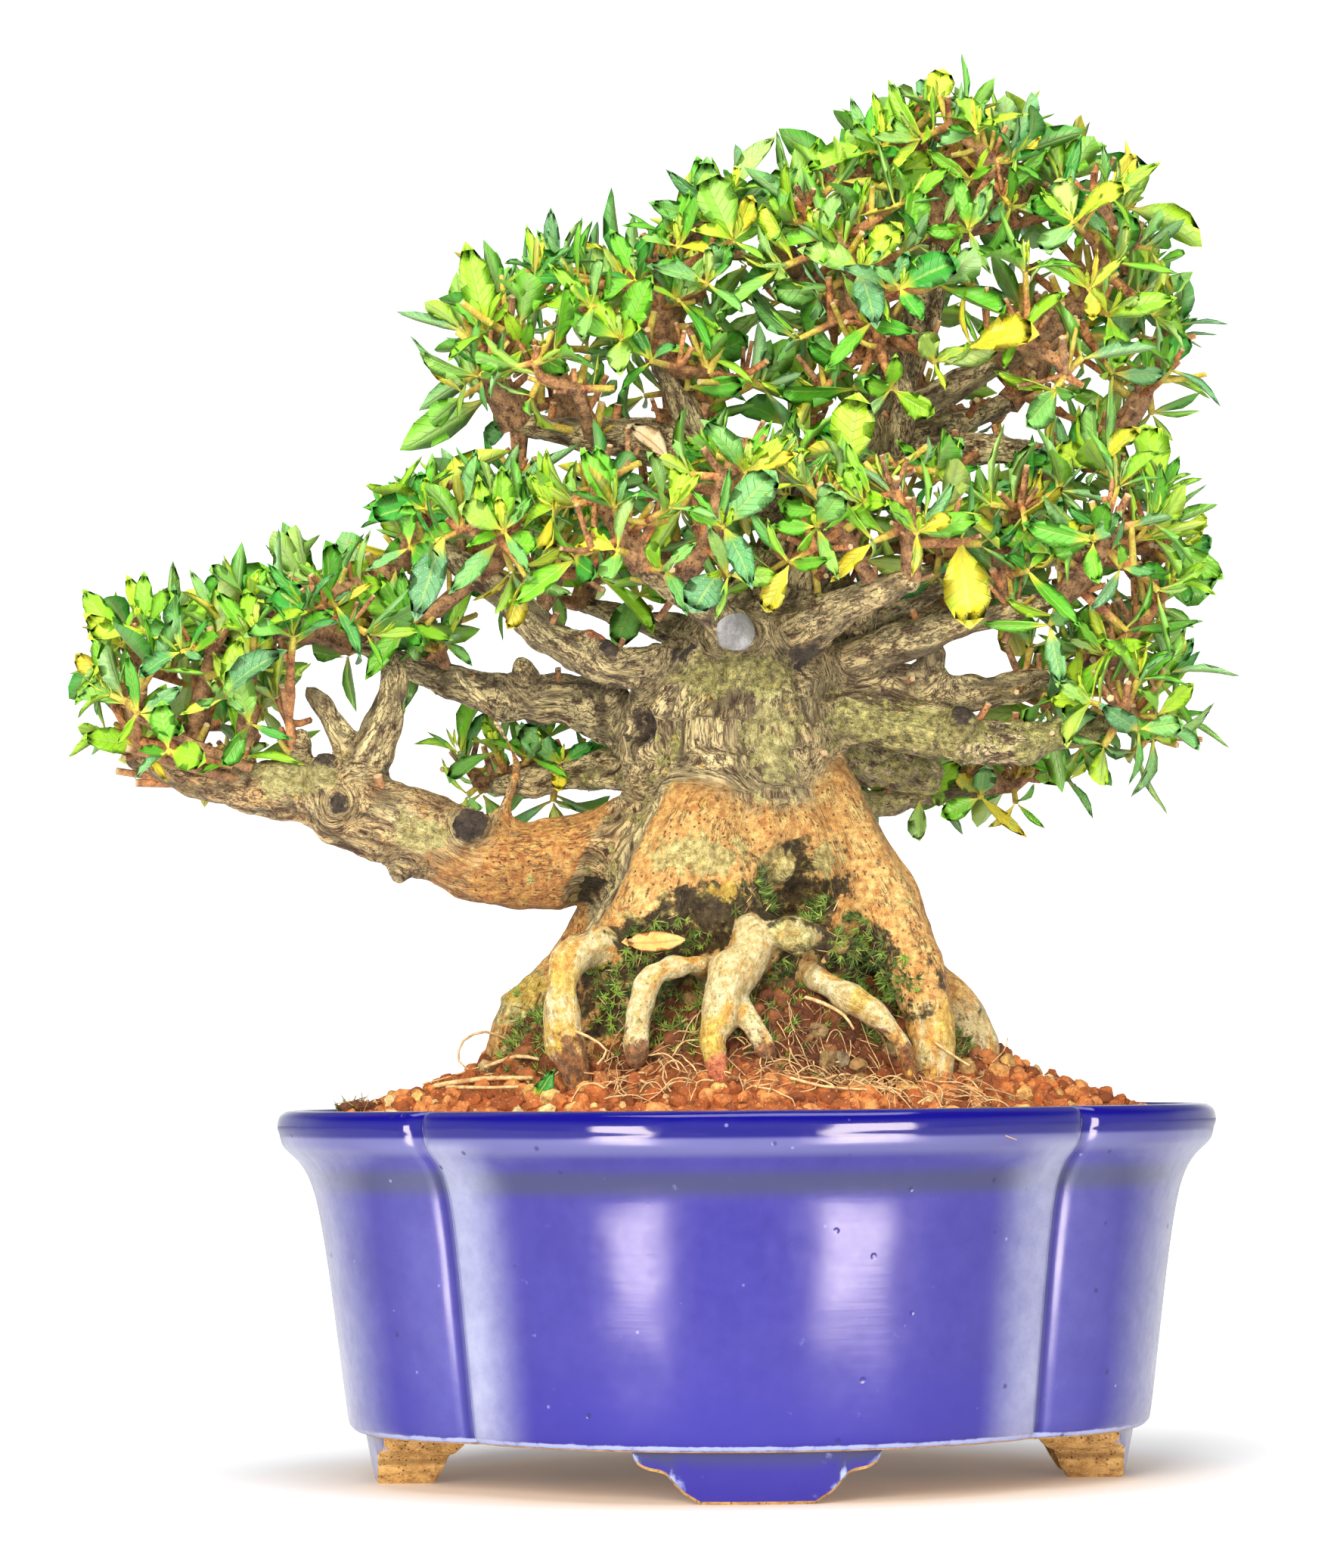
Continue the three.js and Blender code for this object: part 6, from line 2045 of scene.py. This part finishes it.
PASTE_OUTLINE = [(-6, 183.5), (-2, 182.8), (1, 183), (3, 187), (1, 192), (-2.5, 191), (-6.5, 188.5)]
# Each [share of the outline, height over the wood], from under the paste to its middle.
PASTE_RINGS = ((0.9, -0.8), (1.0, -0.3), (0.98, 0.3), (0.9, 0.55), (0.7, 0.7), (0.45, 0.75), (0.2, 0.8))


def skin_place(skin, x, z):
    """Where the wood's front lies at x and z, in millimetres from back to front."""
    hit = skin.ray_cast(Vector(placed((x, -120, z))), Vector((0, 1, 0)))[0]
    return hit.y / MM if hit else None


def paste_material():
    paste = Finish("dried_paste", (0.6, 0.58, 0.56), Roughness=0.6)
    paste.ground(2, 3, (0.26, 0.25, 0.25), (0.52, 0.51, 0.52))
    paste.coat(paste.specks(0.9, 0.2), (0.12, 0.08, 0.06), 0.6)
    return paste.done(paste.grain(0.8, 4), 0.6, 0.7)


def make_paste(skin):
    """A lump of paste that follows the wood and thins out to its edge."""
    outline = np.array(PASTE_OUTLINE)
    count = len(outline)
    closed = np.vstack([outline, outline[:1]])
    edge = np.array([lerp(closed[int(t)], closed[int(t) + 1], t % 1) for t in np.arange(0, count, 0.2)])
    for _ in range(4):
        edge = (np.roll(edge, 1, 0) + edge * 2 + np.roll(edge, -1, 0)) / 4
    middle = edge.mean(0)
    rings = []
    for share, thick in PASTE_RINGS:
        ring = []
        for x, z in middle + (edge - middle) * share:
            swell = 0.7 * noise.noise(Vector((x, 0, z)) * 0.45) * (thick > 0)
            ring.append((x, skin_place(skin, x, z) - thick - swell, z))
        rings.append(ring)
    deepest = skin_place(skin, *middle)
    back, front = ((middle[0], deepest + off, middle[1]) for off in (0.8, -0.8))
    paste = turned_object("paste_lump", *loft(rings, back, front), [paste_material()])
    shade(paste)
    finish_piece(paste, "wound_paste", "wound_paste")


def dry_leaf_material():
    leaf = Finish("dry_leaf", (0.8, 0.45, 0.18), Roughness=0.6)
    across = leaf.maths("ABSOLUTE", leaf.parts(leaf.read("leaf_place", "Vector"))["X"])
    clouds = leaf.ground(3, 2.4, (0.8, 0.3, 0.05), (1, 0.6, 0.2))
    leaf.coat(leaf.read("tone"), leaf.mix(clouds, (0.98, 0.66, 0.3), (1, 0.88, 0.62)))
    leaf.coat(leaf.ease(across, 0.75, 1), (0.3, 0.09, 0.02), 0.7)
    leaf.coat(leaf.ease(across, 0.16, 0.04), (0.5, 0.18, 0.04), 0.6)
    return leaf.done(leaf.grain(1.6, 4), 0.4, 0.7)


def make_leaf(name, base, tip, facing, widths, bend, fold, tone, material, slot, *replaced):
    """One leaf from its base to its tip, with its upper side towards `facing`."""
    base, tip = np.array(base, float), np.array(tip, float)
    length = norm(tip - base)
    x = unit(tip - base)
    z = unit(np.array(facing, float) - x * (x @ facing))
    points, faces, places = leaf_shape(widths, bend, fold)
    points = base + length * np.array(points) @ np.array([x, np.cross(z, x), z])
    leaf = turned_object(name, points, faces, [material])
    set_values(leaf.data, leaf_place=places, tone=np.full(len(points), tone))
    shade(leaf)
    finish_piece(leaf, slot, *replaced)


def screen_material():
    plastic = Finish("black_mesh", (0.02, 0.02, 0.022), Roughness=0.45)
    plastic.ground(3, 2, (0.012, 0.012, 0.014), (0.05, 0.05, 0.052))
    plastic.coat(plastic.specks(0.8, 0.3), (0.4, 0.2, 0.08), 0.5)
    return plastic.done(plastic.grain(2), 0.2, 0.5)


def make_small_things():
    skin = BVHTree.FromObject(WOOD, bpy.context.evaluated_depsgraph_get())
    make_paste(skin)
    dry = dry_leaf_material()
    y = skin_place(skin, -20, 117.5)
    make_leaf("curled_leaf", (-13.8, y - 3.2, 119), (-27, y - 3.7, 115.8), (0, -0.93, 0.36),
              (0.03, 0.09, 0.16, 0.19, 0.16, 0.08), (0.15, 0.15, -0.22), 0.3, 0.0,
              dry, "dry_leaf", "fallen_leaf")
    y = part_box("caught_leaf")[0].y / MM
    make_leaf("withered_leaf", (-16.6, y, 227.4), (-24.6, y - 1.5, 235.6), (0.3, -0.9, 0.3),
              (0.03, 0.1, 0.2, 0.26, 0.2, 0.1), (0.1, 0.25, 0.05), 0.5, 0.9, dry, "dry_leaf", "caught_leaf")
    z = soil_at(-45, -43)
    make_leaf("fallen_sprout", (-46, -44, z + 0.5), (-42, -46, z + 6), (0.4, -0.9, 0.2),
              (0.05, 0.2, 0.3, 0.26, 0.16, 0.06), (0.1, 0.3, 0.0), 0.5, 0.15,
              bpy.data.materials["azalea_leaf"], "foliage")
    plastic = screen_material()
    for name in ("drain_screen_left", "drain_screen_right"):
        paint(frame["nodes"][name].data, plastic)


make_small_things()
